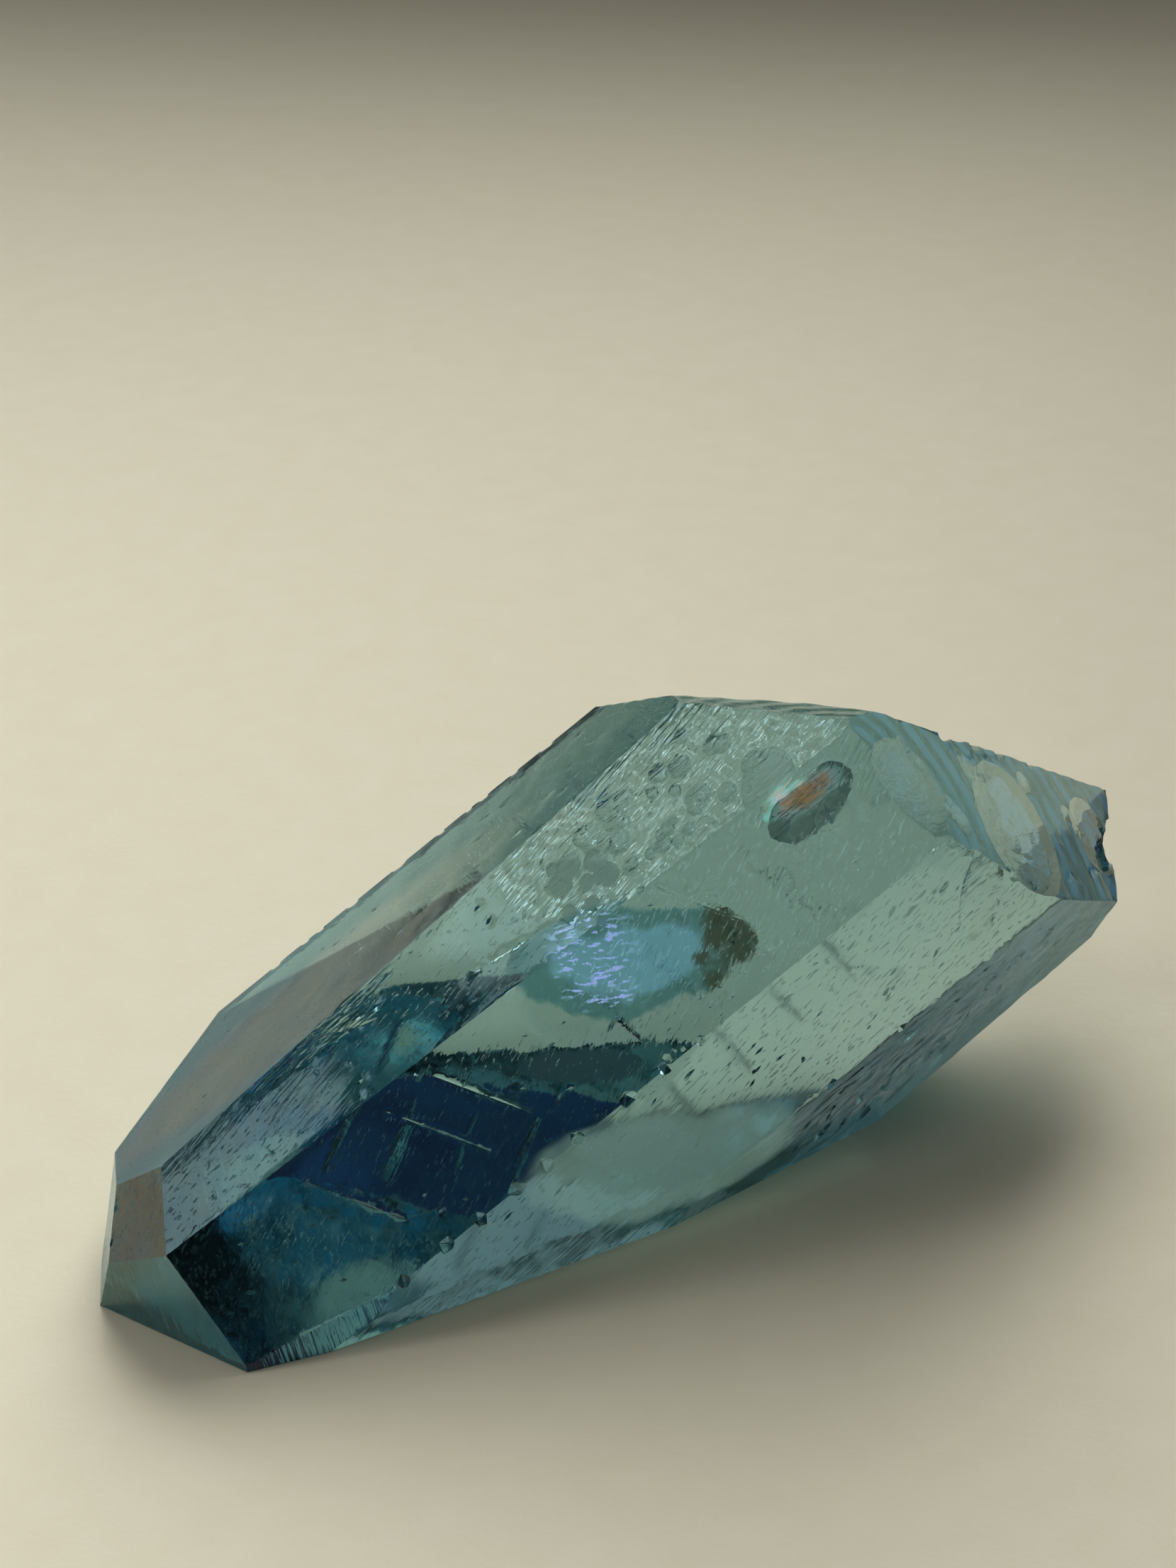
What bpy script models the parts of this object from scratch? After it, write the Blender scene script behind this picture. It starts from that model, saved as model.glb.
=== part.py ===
"""Aqua aura quartz: one natural crystal with a grown tip and a broken end.

The crystal is cut from a block, one growth face at a time, with its long axis
along X. Chips, pits, growth lines and broken hollows are then taken out of it,
and it is laid down on the large oblique face that it rests on.
"""

import math
import random
from dataclasses import dataclass

import bmesh
import bpy
from mathutils import Matrix, Vector

NODE_NAME = "quartz_crystal"
# The crystal is cut in millimetres, well above the Booleans' tolerance, and is
# scaled to metres when it is laid down.
METRES_PER_MM = 0.001
SEED = 7

# How the crystal lies: its long axis rises from the tip to the broken end.
AXIS_RISE_DEG = 26.0
BLOCK_HALF_LENGTH_MM = 40.0
# Vertices closer than this are one vertex.
WELD_MM = 0.002
# Faces that meet within this angle are one flat face.
FLAT_DEG = 0.2

# The coated glassy surface, for the plain model.
BODY_COLOUR = (0.155, 0.318, 0.314, 1.0)
BODY_ROUGHNESS = 0.08
BODY_METALLIC = 0.0


@dataclass(frozen=True)
class Face:
    """A flat face: where its normal points, and how far it is from the centre.

    azimuth_deg turns about the long axis, from straight up towards -Y. tilt_deg
    leans the normal along the long axis, and is positive towards the broken end.
    """

    name: str
    azimuth_deg: float
    tilt_deg: float
    distance_mm: float

    def normal(self):
        """Unit normal while the long axis lies along X."""
        azimuth = math.radians(self.azimuth_deg)
        tilt = math.radians(self.tilt_deg)
        return Vector((
            math.sin(tilt),
            -math.cos(tilt) * math.sin(azimuth),
            math.cos(tilt) * math.cos(azimuth),
        ))

    def axes(self):
        """Directions on the face: along the crystal, across it, and outwards."""
        outwards = self.normal()
        along = (Vector((1.0, 0.0, 0.0)) - outwards * outwards.x).normalized()
        return along, outwards.cross(along), outwards

    def point(self, along_mm, across_mm, lift_mm=0.0):
        """A point given by its place on the face."""
        along, across, outwards = self.axes()
        lifted = outwards * (self.distance_mm + lift_mm)
        return along * along_mm + across * across_mm + lifted


# Faces along the crystal, in turn about its long axis.
SIDE_FACES = (
    Face("crown", 16.0, 1.5, 8.4),
    Face("front", 52.0, 0.0, 8.2),
    Face("lower_front", 86.0, -1.0, 8.65),
    Face("front_foot", 99.0, -6.0, 9.62),
    Face("overhang", 111.0, -2.0, 9.75),
    Face("under", 173.0, 1.5, 10.95),
    Face("under_back", -138.5, 2.0, 8.4),
    Face("back", -83.5, 5.0, 10.2),
    Face("top_back", -26.0, -1.0, 8.25),
)

# The large oblique face that the crystal rests on.
REST_FACE = Face("rest", 180.0, -AXIS_RISE_DEG, 7.0)

# Faces that close the grown tip.
TIP_FACES = (
    Face("tip_front", 45.5, -60.5, 24.5),
    Face("tip_top", -4.5, -27.0, 17.6),
    Face("tip_side", -40.5, -43.5, 20.7),
    Face("tip_back", -86.5, -37.0, 17.3),
    Face("heel", 76.0, -5.75, 10.3),
)

# Faces left where the crystal broke from its root.
BROKEN_FACES = (
    Face("break_main", 50.0, 48.5, 14.5),
    Face("break_band", -16.0, 37.0, 11.85),
    Face("break_top", -34.5, 43.0, 11.75),
    Face("break_back", -33.0, 49.5, 12.4),
    Face("break_end", 150.0, 26.0, 18.4),
)

ALL_FACES = SIDE_FACES + (REST_FACE,) + TIP_FACES + BROKEN_FACES
BY_NAME = {face.name: face for face in ALL_FACES}


@dataclass(frozen=True)
class ChippedEdge:
    """A run of small chips along the edge where two faces meet."""

    first: str
    second: str
    start_mm: float
    end_mm: float
    count: int
    radius_mm: float


@dataclass(frozen=True)
class Hollow:
    """A shell-shaped hollow broken out of a face."""

    face: str
    along_mm: float
    across_mm: float
    length_mm: float
    width_mm: float
    depth_mm: float
    turn_deg: float


@dataclass(frozen=True)
class Scatter:
    """Small marks scattered over part of a face, long ones lying one way."""

    face: str
    along_mm: tuple
    across_mm: tuple
    count: int
    length_mm: float
    width_mm: float
    depth_mm: float
    turn_deg: float


CHIPPED_EDGES = (
    ChippedEdge("front", "lower_front", -17.5, -1.0, 9, 0.42),
    ChippedEdge("crown", "front", -6.0, 9.0, 5, 0.30),
    ChippedEdge("top_back", "back", -12.0, 6.0, 10, 0.40),
    ChippedEdge("lower_front", "overhang", 2.0, 14.5, 5, 0.30),
    ChippedEdge("lower_front", "break_main", 11.9, 15.2, 6, 0.45),
    ChippedEdge("front", "break_main", 10.4, 11.6, 3, 0.50),
    ChippedEdge("crown", "break_band", 5.6, 8.8, 6, 0.42),
    ChippedEdge("break_main", "break_back", 13.5, 20.5, 6, 0.50),
    ChippedEdge("front", "tip_front", -23.3, -22.9, 2, 0.25),
    ChippedEdge("tip_top", "tip_side", -25.2, -22.6, 2, 0.30),
    ChippedEdge("under", "under_back", 7.0, 20.0, 6, 0.45),
    ChippedEdge("back", "under_back", -9.0, 10.0, 7, 0.40),
)

HOLLOWS = (
    Hollow("break_main", 2.2, -1.4, 7.4, 5.4, 0.55, 20.0),
    Hollow("break_main", 8.4, -6.0, 9.0, 6.2, 0.50, 40.0),
    Hollow("break_main", 14.6, -8.9, 5.4, 3.4, 0.45, 35.0),
    Hollow("break_back", 9.5, -1.0, 8.0, 5.5, 0.55, -15.0),
    Hollow("break_back", 15.5, 4.2, 8.5, 6.0, 0.60, 25.0),
    Hollow("break_end", 14.0, -1.2, 5.0, 4.0, 0.45, 0.0),
    Hollow("lower_front", 12.6, -2.0, 5.2, 2.6, 0.22, 55.0),
    Hollow("crown", 7.6, -2.3, 4.2, 2.6, 0.25, 40.0),
    Hollow("under_back", 17.0, 0.5, 7.5, 5.0, 0.50, 20.0),
)

PITS = (
    Scatter("lower_front", (-16.0, 12.0), (-3.8, 2.0), 46, 0.75, 0.20, 0.09, 12.0),
    Scatter("front", (-22.0, 4.0), (-2.6, 3.6), 14, 0.55, 0.22, 0.08, -25.0),
    Scatter("crown", (-20.0, 2.0), (-2.0, 2.6), 22, 0.60, 0.20, 0.08, 20.0),
    Scatter("top_back", (-18.0, 6.0), (-2.5, 6.0), 20, 0.70, 0.24, 0.08, 0.0),
    Scatter("overhang", (-1.0, 16.0), (-6.0, -1.6), 22, 1.10, 0.40, 0.14, 40.0),
    Scatter("back", (-12.0, 9.0), (-3.0, 3.0), 12, 0.80, 0.26, 0.09, 10.0),
    Scatter("under_back", (-10.0, 20.0), (-6.0, 6.0), 16, 0.90, 0.30, 0.10, 0.0),
)

DENTS = (
    Scatter("crown", (-3.0, 8.2), (-2.6, 4.2), 44, 1.50, 1.10, 0.11, 30.0),
    Scatter("front", (3.0, 10.5), (-3.4, 2.2), 16, 1.70, 1.10, 0.08, 35.0),
    Scatter("overhang", (0.0, 17.0), (-6.0, -1.6), 12, 2.00, 0.90, 0.11, 35.0),
    Scatter("break_main", (0.5, 16.0), (-9.5, 0.5), 10, 1.80, 1.20, 0.10, 50.0),
    Scatter("under", (8.0, 19.0), (0.5, 5.0), 6, 2.10, 1.40, 0.12, 0.0),
)

# The fan of growth lines on the crown, beside its edge with the top back face.
# Each line starts and ends a step further along and across than the last.
FAN_COUNT = 9
FAN_START_MM = (-19.4, 1.55)
FAN_START_STEP_MM = (0.9, -0.04)
FAN_END_MM = (-6.6, 2.9)
FAN_END_STEP_MM = (-0.5, -0.27)
FAN_WIDTH_MM = 0.20
FAN_DEPTH_MM = 0.055

# The long double groove on the overhang, under its edge with the lower front.
GROOVES_MM = (
    ((0.6, -1.15), (15.4, -1.75)),
    ((1.7, -1.70), (13.8, -2.30)),
)
GROOVE_WIDTH_MM = 0.42
GROOVE_DEPTH_MM = 0.20

# Steps where growth stopped and started again across the front.
STEP_PLACES_MM = (-16.2, -11.9, -9.6, 2.4)
STEP_MIDDLE_MM = 0.8
STEP_LENGTH_MM = 6.4
STEP_SLANT_DEG = -60.0
STEP_WIDTH_MM = 0.30
STEP_DEPTH_MM = 0.05

# Growth lines across the two faces at the back.
BACK_LINE_FACES = ("back", "under_back")
BACK_LINE_COUNT = 7
BACK_LINE_GAP_MM = 3.1
BACK_LINE_LENGTH_MM = 5.6
BACK_LINE_SLANT_MM = 0.4

# The healed crack under the crown edge. It opens on the front face.
CRACK_PLACE_MM = (8.7, 1.15)
CRACK_LENGTH_MM = 4.4
CRACK_REACH_MM = 2.5
CRACK_GAPE_MM = 0.14
CRACK_DIP_DEG = 24.0
CRACK_SINK_MM = 0.43

# A hollow's inner ripple, as shares of the hollow's sizes.
RIPPLE_SHARE = 0.55
RIPPLE_DROP = 1.18

# Heights of the cutters above the surface, as shares of their depths.
BOWL_LID = 0.6
SLIVER_LID = 0.35

# How far the marks and chips stray from the sizes and places given for them.
MARK_SIZES = (0.55, 1.25)
MARK_DEPTHS = (0.7, 1.2)
MARK_STRAY_DEG = 14.0
TRIES_PER_MARK = 20
CHIP_PLACES = (0.1, 0.9)
CHIP_SIZES = (0.6, 1.25)
CHIP_LIFTS = (0.10, 0.26)
CHIP_STRETCHES = (0.8, 1.5)
CHIP_SQUASHES = (0.7, 1.1)

# How the cutters of a batch are kept apart, and nudged when a cut goes wrong.
CUTTER_GAP_MM = 0.02
NUDGE_MM = 0.004
NUDGE_TRIES = 4


def edge_point(first, second, place_mm):
    """Where two faces meet, at a given place along the crystal."""
    rows = Matrix((first.normal(), second.normal(), Vector((1.0, 0.0, 0.0))))
    sides = Vector((first.distance_mm, second.distance_mm, place_mm))
    return rows.inverted() @ sides


def depth_inside(point, skipped):
    """Distance from a point to the nearest face but the skipped one."""
    return min(
        face.distance_mm - face.normal().dot(point)
        for face in ALL_FACES
        if face.name != skipped
    )


def cut_block():
    """A block cut by every face, closed again after each cut."""
    bm = bmesh.new()
    bmesh.ops.create_cube(bm, size=2.0 * BLOCK_HALF_LENGTH_MM)
    for face in ALL_FACES:
        normal = face.normal()
        cut = bmesh.ops.bisect_plane(
            bm,
            geom=bm.verts[:] + bm.edges[:] + bm.faces[:],
            plane_co=normal * face.distance_mm,
            plane_no=normal,
            clear_outer=True,
        )
        rim = [item for item in cut["geom_cut"] if isinstance(item, bmesh.types.BMEdge)]
        if rim:
            bmesh.ops.contextual_create(bm, geom=rim)
    bmesh.ops.remove_doubles(bm, verts=bm.verts[:], dist=WELD_MM)
    bmesh.ops.recalc_face_normals(bm, faces=bm.faces[:])
    return bm


@dataclass
class Cutter:
    """A closed shape to take out of the crystal: its corners and its sides."""

    corners: list
    sides: list

    def limits(self):
        """Lowest and highest X, Y and Z of the corners."""
        columns = list(zip(*self.corners))
        return [min(column) for column in columns], [max(column) for column in columns]

    def clear_of(self, other):
        """Whether the boxes round two cutters are apart."""
        low, high = self.limits()
        other_low, other_high = other.limits()
        return any(
            high[axis] + CUTTER_GAP_MM < other_low[axis]
            or other_high[axis] + CUTTER_GAP_MM < low[axis]
            for axis in range(3)
        )


def frame_matrix(origin, axes):
    """Matrix that takes X, Y and Z to the given axes at the given origin."""
    turn = Matrix((axes[0], axes[1], axes[2])).transposed().to_4x4()
    return Matrix.Translation(origin) @ turn


def turned_axes(axes, turn_deg):
    """Axes turned about the third of them."""
    turn = Matrix.Rotation(math.radians(turn_deg), 3, axes[2])
    return turn @ axes[0], turn @ axes[1], axes[2]


def ball(origin, axes, sizes_mm, subdivisions):
    """An ellipsoid cutter with its full sizes along the three axes."""
    shape = bmesh.new()
    bmesh.ops.create_icosphere(shape, subdivisions=subdivisions, radius=0.5)
    place = frame_matrix(origin, axes) @ Matrix.Diagonal(sizes_mm).to_4x4()
    corners = [place @ vert.co for vert in shape.verts]
    sides = [[vert.index for vert in face.verts] for face in shape.faces]
    shape.free()
    return Cutter(corners, sides)


def sliver(origin, axes, length_mm, width_mm, depth_mm):
    """A long pointed cutter that leaves a tapering groove with two slopes."""
    lift = SLIVER_LID * depth_mm
    corners = (
        (0.5 * length_mm, 0.0, lift), (0.0, 0.5 * width_mm, lift),
        (-0.5 * length_mm, 0.0, lift), (0.0, -0.5 * width_mm, lift),
        (0.0, 0.0, -depth_mm), (0.0, 0.0, width_mm),
    )
    place = frame_matrix(origin, axes)
    sides = []
    for side in range(4):
        after = (side + 1) % 4
        sides.append((after, side, 4))
        sides.append((side, after, 5))
    return Cutter([place @ Vector(corner) for corner in corners], sides)


def bowl(origin, axes, length_mm, width_mm, depth_mm, rings=2, spokes=8):
    """A shallow dished cutter: a bowl below the surface with a flat lid above."""
    place = frame_matrix(origin, axes)
    corners = []
    for ring in range(rings):
        reach = 1.0 - ring / rings
        drop = -depth_mm * (1.0 - reach * reach) if ring else BOWL_LID * depth_mm
        for spoke in range(spokes):
            angle = math.tau * spoke / spokes
            corners.append((
                0.5 * length_mm * reach * math.cos(angle),
                0.5 * width_mm * reach * math.sin(angle),
                drop,
            ))
    corners.append((0.0, 0.0, -depth_mm))
    bottom = len(corners) - 1
    sides = [list(range(spokes))]
    for spoke in range(spokes):
        after = (spoke + 1) % spokes
        for ring in range(rings - 1):
            outer = ring * spokes
            inner = outer + spokes
            sides.append((outer + after, outer + spoke, inner + spoke, inner + after))
        last = (rings - 1) * spokes
        sides.append((last + after, last + spoke, bottom))
    return Cutter([place @ Vector(corner) for corner in corners], sides)


def lens(origin, axes, length_mm, width_mm, thickness_mm, rings=3, spokes=16):
    """A thin lens-shaped cutter with a sharp rim, dished above and below."""
    place = frame_matrix(origin, axes)
    corners = []
    for ring in range(rings):
        reach = 1.0 - ring / rings
        rise = 0.5 * thickness_mm * (1.0 - reach * reach)
        for height in (rise, -rise) if ring else (0.0,):
            for spoke in range(spokes):
                angle = math.tau * spoke / spokes
                corners.append((
                    0.5 * length_mm * reach * math.cos(angle),
                    0.5 * width_mm * reach * math.sin(angle),
                    height,
                ))
    corners.append((0.0, 0.0, 0.5 * thickness_mm))
    corners.append((0.0, 0.0, -0.5 * thickness_mm))
    sides = []
    for layer in range(2):
        starts = [0] + [(1 + 2 * ring + layer) * spokes for ring in range(rings - 1)]
        middle = len(corners) - 2 + layer
        for spoke in range(spokes):
            after = (spoke + 1) % spokes
            for outer, inner in zip(starts, starts[1:]):
                sides.append((outer + spoke, outer + after, inner + after, inner + spoke))
            sides.append((starts[-1] + spoke, starts[-1] + after, middle))
    return Cutter([place @ Vector(corner) for corner in corners], sides)


def random_axes(rng):
    """Three random directions at right angles."""
    turn = Matrix.Rotation(rng.uniform(0.0, math.tau), 3, "X")
    turn = turn @ Matrix.Rotation(rng.uniform(0.0, math.tau), 3, "Y")
    return turn.col[0], turn.col[1], turn.col[2]


def edge_chips(rng):
    """Small chips along the edges that have been knocked."""
    cutters = []
    for run in CHIPPED_EDGES:
        first = BY_NAME[run.first]
        second = BY_NAME[run.second]
        outwards = (first.normal() + second.normal()).normalized()
        for number in range(run.count):
            share = (number + rng.uniform(*CHIP_PLACES)) / run.count
            place = run.start_mm + share * (run.end_mm - run.start_mm)
            size = 2.0 * run.radius_mm * rng.uniform(*CHIP_SIZES)
            origin = edge_point(first, second, place)
            origin += outwards * size * rng.uniform(*CHIP_LIFTS)
            stretched = size * rng.uniform(*CHIP_STRETCHES)
            squashed = size * rng.uniform(*CHIP_SQUASHES)
            sizes = (size, stretched, squashed)
            cutters.append(ball(origin, random_axes(rng), sizes, 1))
    return cutters


def scattered(rng, patches, make_mark):
    """Marks scattered over parts of the faces, clear of the faces beside them."""
    cutters = []
    for patch in patches:
        face = BY_NAME[patch.face]
        wanted = len(cutters) + patch.count
        for _ in range(patch.count * TRIES_PER_MARK):
            if len(cutters) == wanted:
                break
            origin = face.point(rng.uniform(*patch.along_mm), rng.uniform(*patch.across_mm))
            size = rng.uniform(*MARK_SIZES)
            if depth_inside(origin, face.name) < 0.5 * size * patch.length_mm:
                continue
            stray = rng.uniform(-MARK_STRAY_DEG, MARK_STRAY_DEG)
            axes = turned_axes(face.axes(), patch.turn_deg + stray)
            depth = patch.depth_mm * rng.uniform(*MARK_DEPTHS)
            length = patch.length_mm * size
            cutters.append(make_mark(origin, axes, length, patch.width_mm * size, depth))
    return cutters


def broken_hollows():
    """Shell-shaped hollows of the broken end, each with one inner ripple."""
    cutters = []
    for hollow in HOLLOWS:
        face = BY_NAME[hollow.face]
        axes = turned_axes(face.axes(), hollow.turn_deg)
        origin = face.point(hollow.along_mm, hollow.across_mm)
        sizes = (hollow.length_mm, hollow.width_mm, hollow.depth_mm)
        cutters.append(bowl(origin, axes, *sizes, rings=4, spokes=16))
        ripple = (sizes[0] * RIPPLE_SHARE, sizes[1] * RIPPLE_SHARE, sizes[2] * RIPPLE_DROP)
        cutters.append(bowl(origin, axes, *ripple, rings=3, spokes=12))
    return cutters


def line_on_face(face, start_mm, end_mm, width_mm, depth_mm):
    """A tapering groove between two places on a face."""
    start = face.point(*start_mm)
    end = face.point(*end_mm)
    along = (end - start).normalized()
    outwards = face.normal()
    axes = (along, outwards.cross(along), outwards)
    return sliver((start + end) * 0.5, axes, (end - start).length, width_mm, depth_mm)


def stepped(place, step, number):
    """A place moved by a number of steps."""
    return place[0] + number * step[0], place[1] + number * step[1]


def growth_lines():
    """The fan on the crown, the overhang's grooves, the steps and the back lines."""
    cutters = []
    crown = BY_NAME["crown"]
    for number in range(FAN_COUNT):
        start = stepped(FAN_START_MM, FAN_START_STEP_MM, number)
        end = stepped(FAN_END_MM, FAN_END_STEP_MM, number)
        cutters.append(line_on_face(crown, start, end, FAN_WIDTH_MM, FAN_DEPTH_MM))

    overhang = BY_NAME["overhang"]
    for start, end in GROOVES_MM:
        cutters.append(line_on_face(overhang, start, end, GROOVE_WIDTH_MM, GROOVE_DEPTH_MM))

    front = BY_NAME["front"]
    slant = math.radians(STEP_SLANT_DEG)
    half_x = 0.5 * STEP_LENGTH_MM * math.cos(slant)
    half_y = 0.5 * STEP_LENGTH_MM * math.sin(slant)
    for place in STEP_PLACES_MM:
        start = (place - half_x, STEP_MIDDLE_MM - half_y)
        end = (place + half_x, STEP_MIDDLE_MM + half_y)
        cutters.append(line_on_face(front, start, end, STEP_WIDTH_MM, STEP_DEPTH_MM))

    for name in BACK_LINE_FACES:
        for number in range(BACK_LINE_COUNT):
            place = (number - 0.5 * BACK_LINE_COUNT) * BACK_LINE_GAP_MM
            start = (place, -0.5 * BACK_LINE_LENGTH_MM)
            end = (place + BACK_LINE_SLANT_MM, 0.5 * BACK_LINE_LENGTH_MM)
            face = BY_NAME[name]
            cutters.append(line_on_face(face, start, end, STEP_WIDTH_MM, STEP_DEPTH_MM))
    return cutters


def healed_crack():
    """The thin crack that dips under the front face and opens along one rim."""
    front = BY_NAME["front"]
    along, across, outwards = front.axes()
    dip = Matrix.Rotation(math.radians(CRACK_DIP_DEG), 3, along)
    origin = front.point(*CRACK_PLACE_MM, lift_mm=-CRACK_SINK_MM)
    axes = (along, dip @ across, dip @ outwards)
    return [lens(origin, axes, CRACK_LENGTH_MM, CRACK_REACH_MM, CRACK_GAPE_MM)]


def weld_and_split(mesh):
    """Weld close vertices, drop flattened faces and split the rest into triangles."""
    bm = bmesh.new()
    bm.from_mesh(mesh)
    bmesh.ops.remove_doubles(bm, verts=bm.verts[:], dist=WELD_MM)
    bmesh.ops.dissolve_degenerate(bm, edges=bm.edges[:], dist=WELD_MM)
    bmesh.ops.triangulate(bm, faces=bm.faces[:])
    closed = all(edge.is_manifold for edge in bm.edges)
    bm.to_mesh(mesh)
    bm.free()
    return closed


def batches(cutters):
    """Sort cutters into batches in which no two overlap."""
    groups = []
    for cutter in cutters:
        for group in groups:
            if all(cutter.clear_of(other) for other in group):
                group.append(cutter)
                break
        else:
            groups.append([cutter])
    return groups


def cutter_object(group, nudge):
    """One object that holds a batch of cutters, moved by a small nudge."""
    shape = bmesh.new()
    for cutter in group:
        verts = [shape.verts.new(corner + nudge) for corner in cutter.corners]
        for side in cutter.sides:
            shape.faces.new([verts[corner] for corner in side])
    bmesh.ops.recalc_face_normals(shape, faces=shape.faces[:])
    bmesh.ops.triangulate(shape, faces=shape.faces[:])
    mesh = bpy.data.meshes.new("cutters")
    shape.to_mesh(mesh)
    shape.free()
    tool = bpy.data.objects.new("cutters", mesh)
    bpy.context.scene.collection.objects.link(tool)
    return tool


def boolean_difference(target, tool):
    """The target's mesh with the tool taken out by an exact Boolean."""
    boolean = target.modifiers.new("cut", "BOOLEAN")
    boolean.operation = "DIFFERENCE"
    boolean.solver = "EXACT"
    boolean.object = tool
    evaluated = target.evaluated_get(bpy.context.evaluated_depsgraph_get())
    result = bpy.data.meshes.new_from_object(evaluated)
    target.modifiers.clear()
    return result


def subtract(target, cutters, rng):
    """Take cutters out of the target, a batch at a time.

    A batch that would leave the mesh open is nudged and tried again, and after
    a few tries it is halved, down to a single cutter, which is left out.
    """
    waiting = batches(cutters)
    while waiting:
        group = waiting.pop(0)
        for attempt in range(NUDGE_TRIES):
            reach = attempt * NUDGE_MM
            nudge = Vector([rng.uniform(-reach, reach) for _ in range(3)])
            tool = cutter_object(group, nudge)
            result = boolean_difference(target, tool)
            bpy.data.objects.remove(tool, do_unlink=True)
            if weld_and_split(result):
                target.data = result
                break
        else:
            if len(group) > 1:
                middle = len(group) // 2
                waiting[:0] = [group[:middle], group[middle:]]


def keep_largest_piece(bm):
    """Delete crumbs that the cuts left loose, and keep the crystal."""
    bm.verts.ensure_lookup_table()
    unseen = set(bm.verts)
    pieces = []
    while unseen:
        piece = set()
        queue = [unseen.pop()]
        while queue:
            vert = queue.pop()
            piece.add(vert)
            for edge in vert.link_edges:
                other = edge.other_vert(vert)
                if other in unseen:
                    unseen.remove(other)
                    queue.append(other)
        pieces.append(piece)
    largest = max(pieces, key=len)
    crumbs = [vert for piece in pieces if piece is not largest for vert in piece]
    bmesh.ops.delete(bm, geom=crumbs, context="VERTS")


def lay_down(target):
    """Turn the crystal onto its rest face, centred over the origin, in metres."""
    mesh = target.data
    mesh.transform(Matrix.Rotation(math.radians(-AXIS_RISE_DEG), 4, "Y"))
    lows = [min(vert.co[axis] for vert in mesh.vertices) for axis in range(3)]
    highs = [max(vert.co[axis] for vert in mesh.vertices) for axis in range(3)]
    centre = Vector((
        0.5 * (lows[0] + highs[0]),
        0.5 * (lows[1] + highs[1]),
        -REST_FACE.distance_mm,
    ))
    mesh.transform(Matrix.Scale(METRES_PER_MM, 4) @ Matrix.Translation(-centre))


def clean(target):
    """Drop crumbs, and join flat neighbours where the mesh stays closed."""
    bm = bmesh.new()
    bm.from_mesh(target.data)
    keep_largest_piece(bm)
    bmesh.ops.dissolve_limit(
        bm,
        angle_limit=math.radians(FLAT_DEG),
        verts=bm.verts[:],
        edges=bm.edges[:],
    )
    bmesh.ops.triangulate(bm, faces=bm.faces[:])
    bmesh.ops.recalc_face_normals(bm, faces=bm.faces[:])
    bm.to_mesh(target.data)
    bm.free()


def coated_quartz():
    """Pale aqua, glassy: the plain model's stand-in for the coated crystal."""
    material = bpy.data.materials.new("coated_quartz")
    material.use_nodes = True
    shader = material.node_tree.nodes["Principled BSDF"]
    shader.inputs["Base Color"].default_value = BODY_COLOUR
    shader.inputs["Roughness"].default_value = BODY_ROUGHNESS
    shader.inputs["Metallic"].default_value = BODY_METALLIC
    material.diffuse_color = BODY_COLOUR
    return material


def build_crystal():
    """The whole crystal as one closed solid at its real size."""
    rng = random.Random(SEED)
    mesh = bpy.data.meshes.new(NODE_NAME)
    block = cut_block()
    block.to_mesh(mesh)
    block.free()
    crystal = bpy.data.objects.new(NODE_NAME, mesh)
    bpy.context.scene.collection.objects.link(crystal)

    subtract(crystal, healed_crack() + broken_hollows(), rng)
    subtract(crystal, growth_lines(), rng)
    subtract(crystal, scattered(rng, DENTS, bowl), rng)
    subtract(crystal, scattered(rng, PITS, sliver) + edge_chips(rng), rng)
    clean(crystal)
    lay_down(crystal)
    crystal.data.materials.clear()
    crystal.data.materials.append(coated_quartz())
    return crystal


def main():
    """Clear the scene and build the crystal."""
    for old in list(bpy.data.objects):
        bpy.data.objects.remove(old, do_unlink=True)
    build_crystal()


main()
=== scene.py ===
"""An aqua aura quartz crystal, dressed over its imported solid, on a pale studio floor."""

import logging
import math
from dataclasses import dataclass
from enum import Enum
from typing import Iterable, Optional, Union

import bmesh
import bpy
import numpy as np
from mathutils import Matrix, Vector
from mathutils.geometry import delaunay_2d_cdt


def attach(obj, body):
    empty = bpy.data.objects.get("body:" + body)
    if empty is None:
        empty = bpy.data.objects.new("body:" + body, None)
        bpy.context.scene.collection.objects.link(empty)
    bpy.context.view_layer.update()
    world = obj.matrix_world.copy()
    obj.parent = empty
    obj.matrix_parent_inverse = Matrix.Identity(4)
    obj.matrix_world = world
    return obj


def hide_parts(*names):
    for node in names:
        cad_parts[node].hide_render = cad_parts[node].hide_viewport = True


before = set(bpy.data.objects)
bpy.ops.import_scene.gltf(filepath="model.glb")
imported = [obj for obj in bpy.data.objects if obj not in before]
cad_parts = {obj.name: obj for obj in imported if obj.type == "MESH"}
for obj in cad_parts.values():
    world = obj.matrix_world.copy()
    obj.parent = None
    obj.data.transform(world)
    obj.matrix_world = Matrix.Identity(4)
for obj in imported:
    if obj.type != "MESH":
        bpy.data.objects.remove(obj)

LOG = logging.getLogger("crystal")

NODE = "quartz_crystal"
BODY = "root"
MM = 0.001

# How the crystal lies in the row frame: its long axis rises along +X, and its
# own middle, from which its faces are measured, is here.
AXIS_RISE_DEG = 26.0
CRYSTAL_MIDDLE_MM = (-0.048, -1.180, 7.0)

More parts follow.
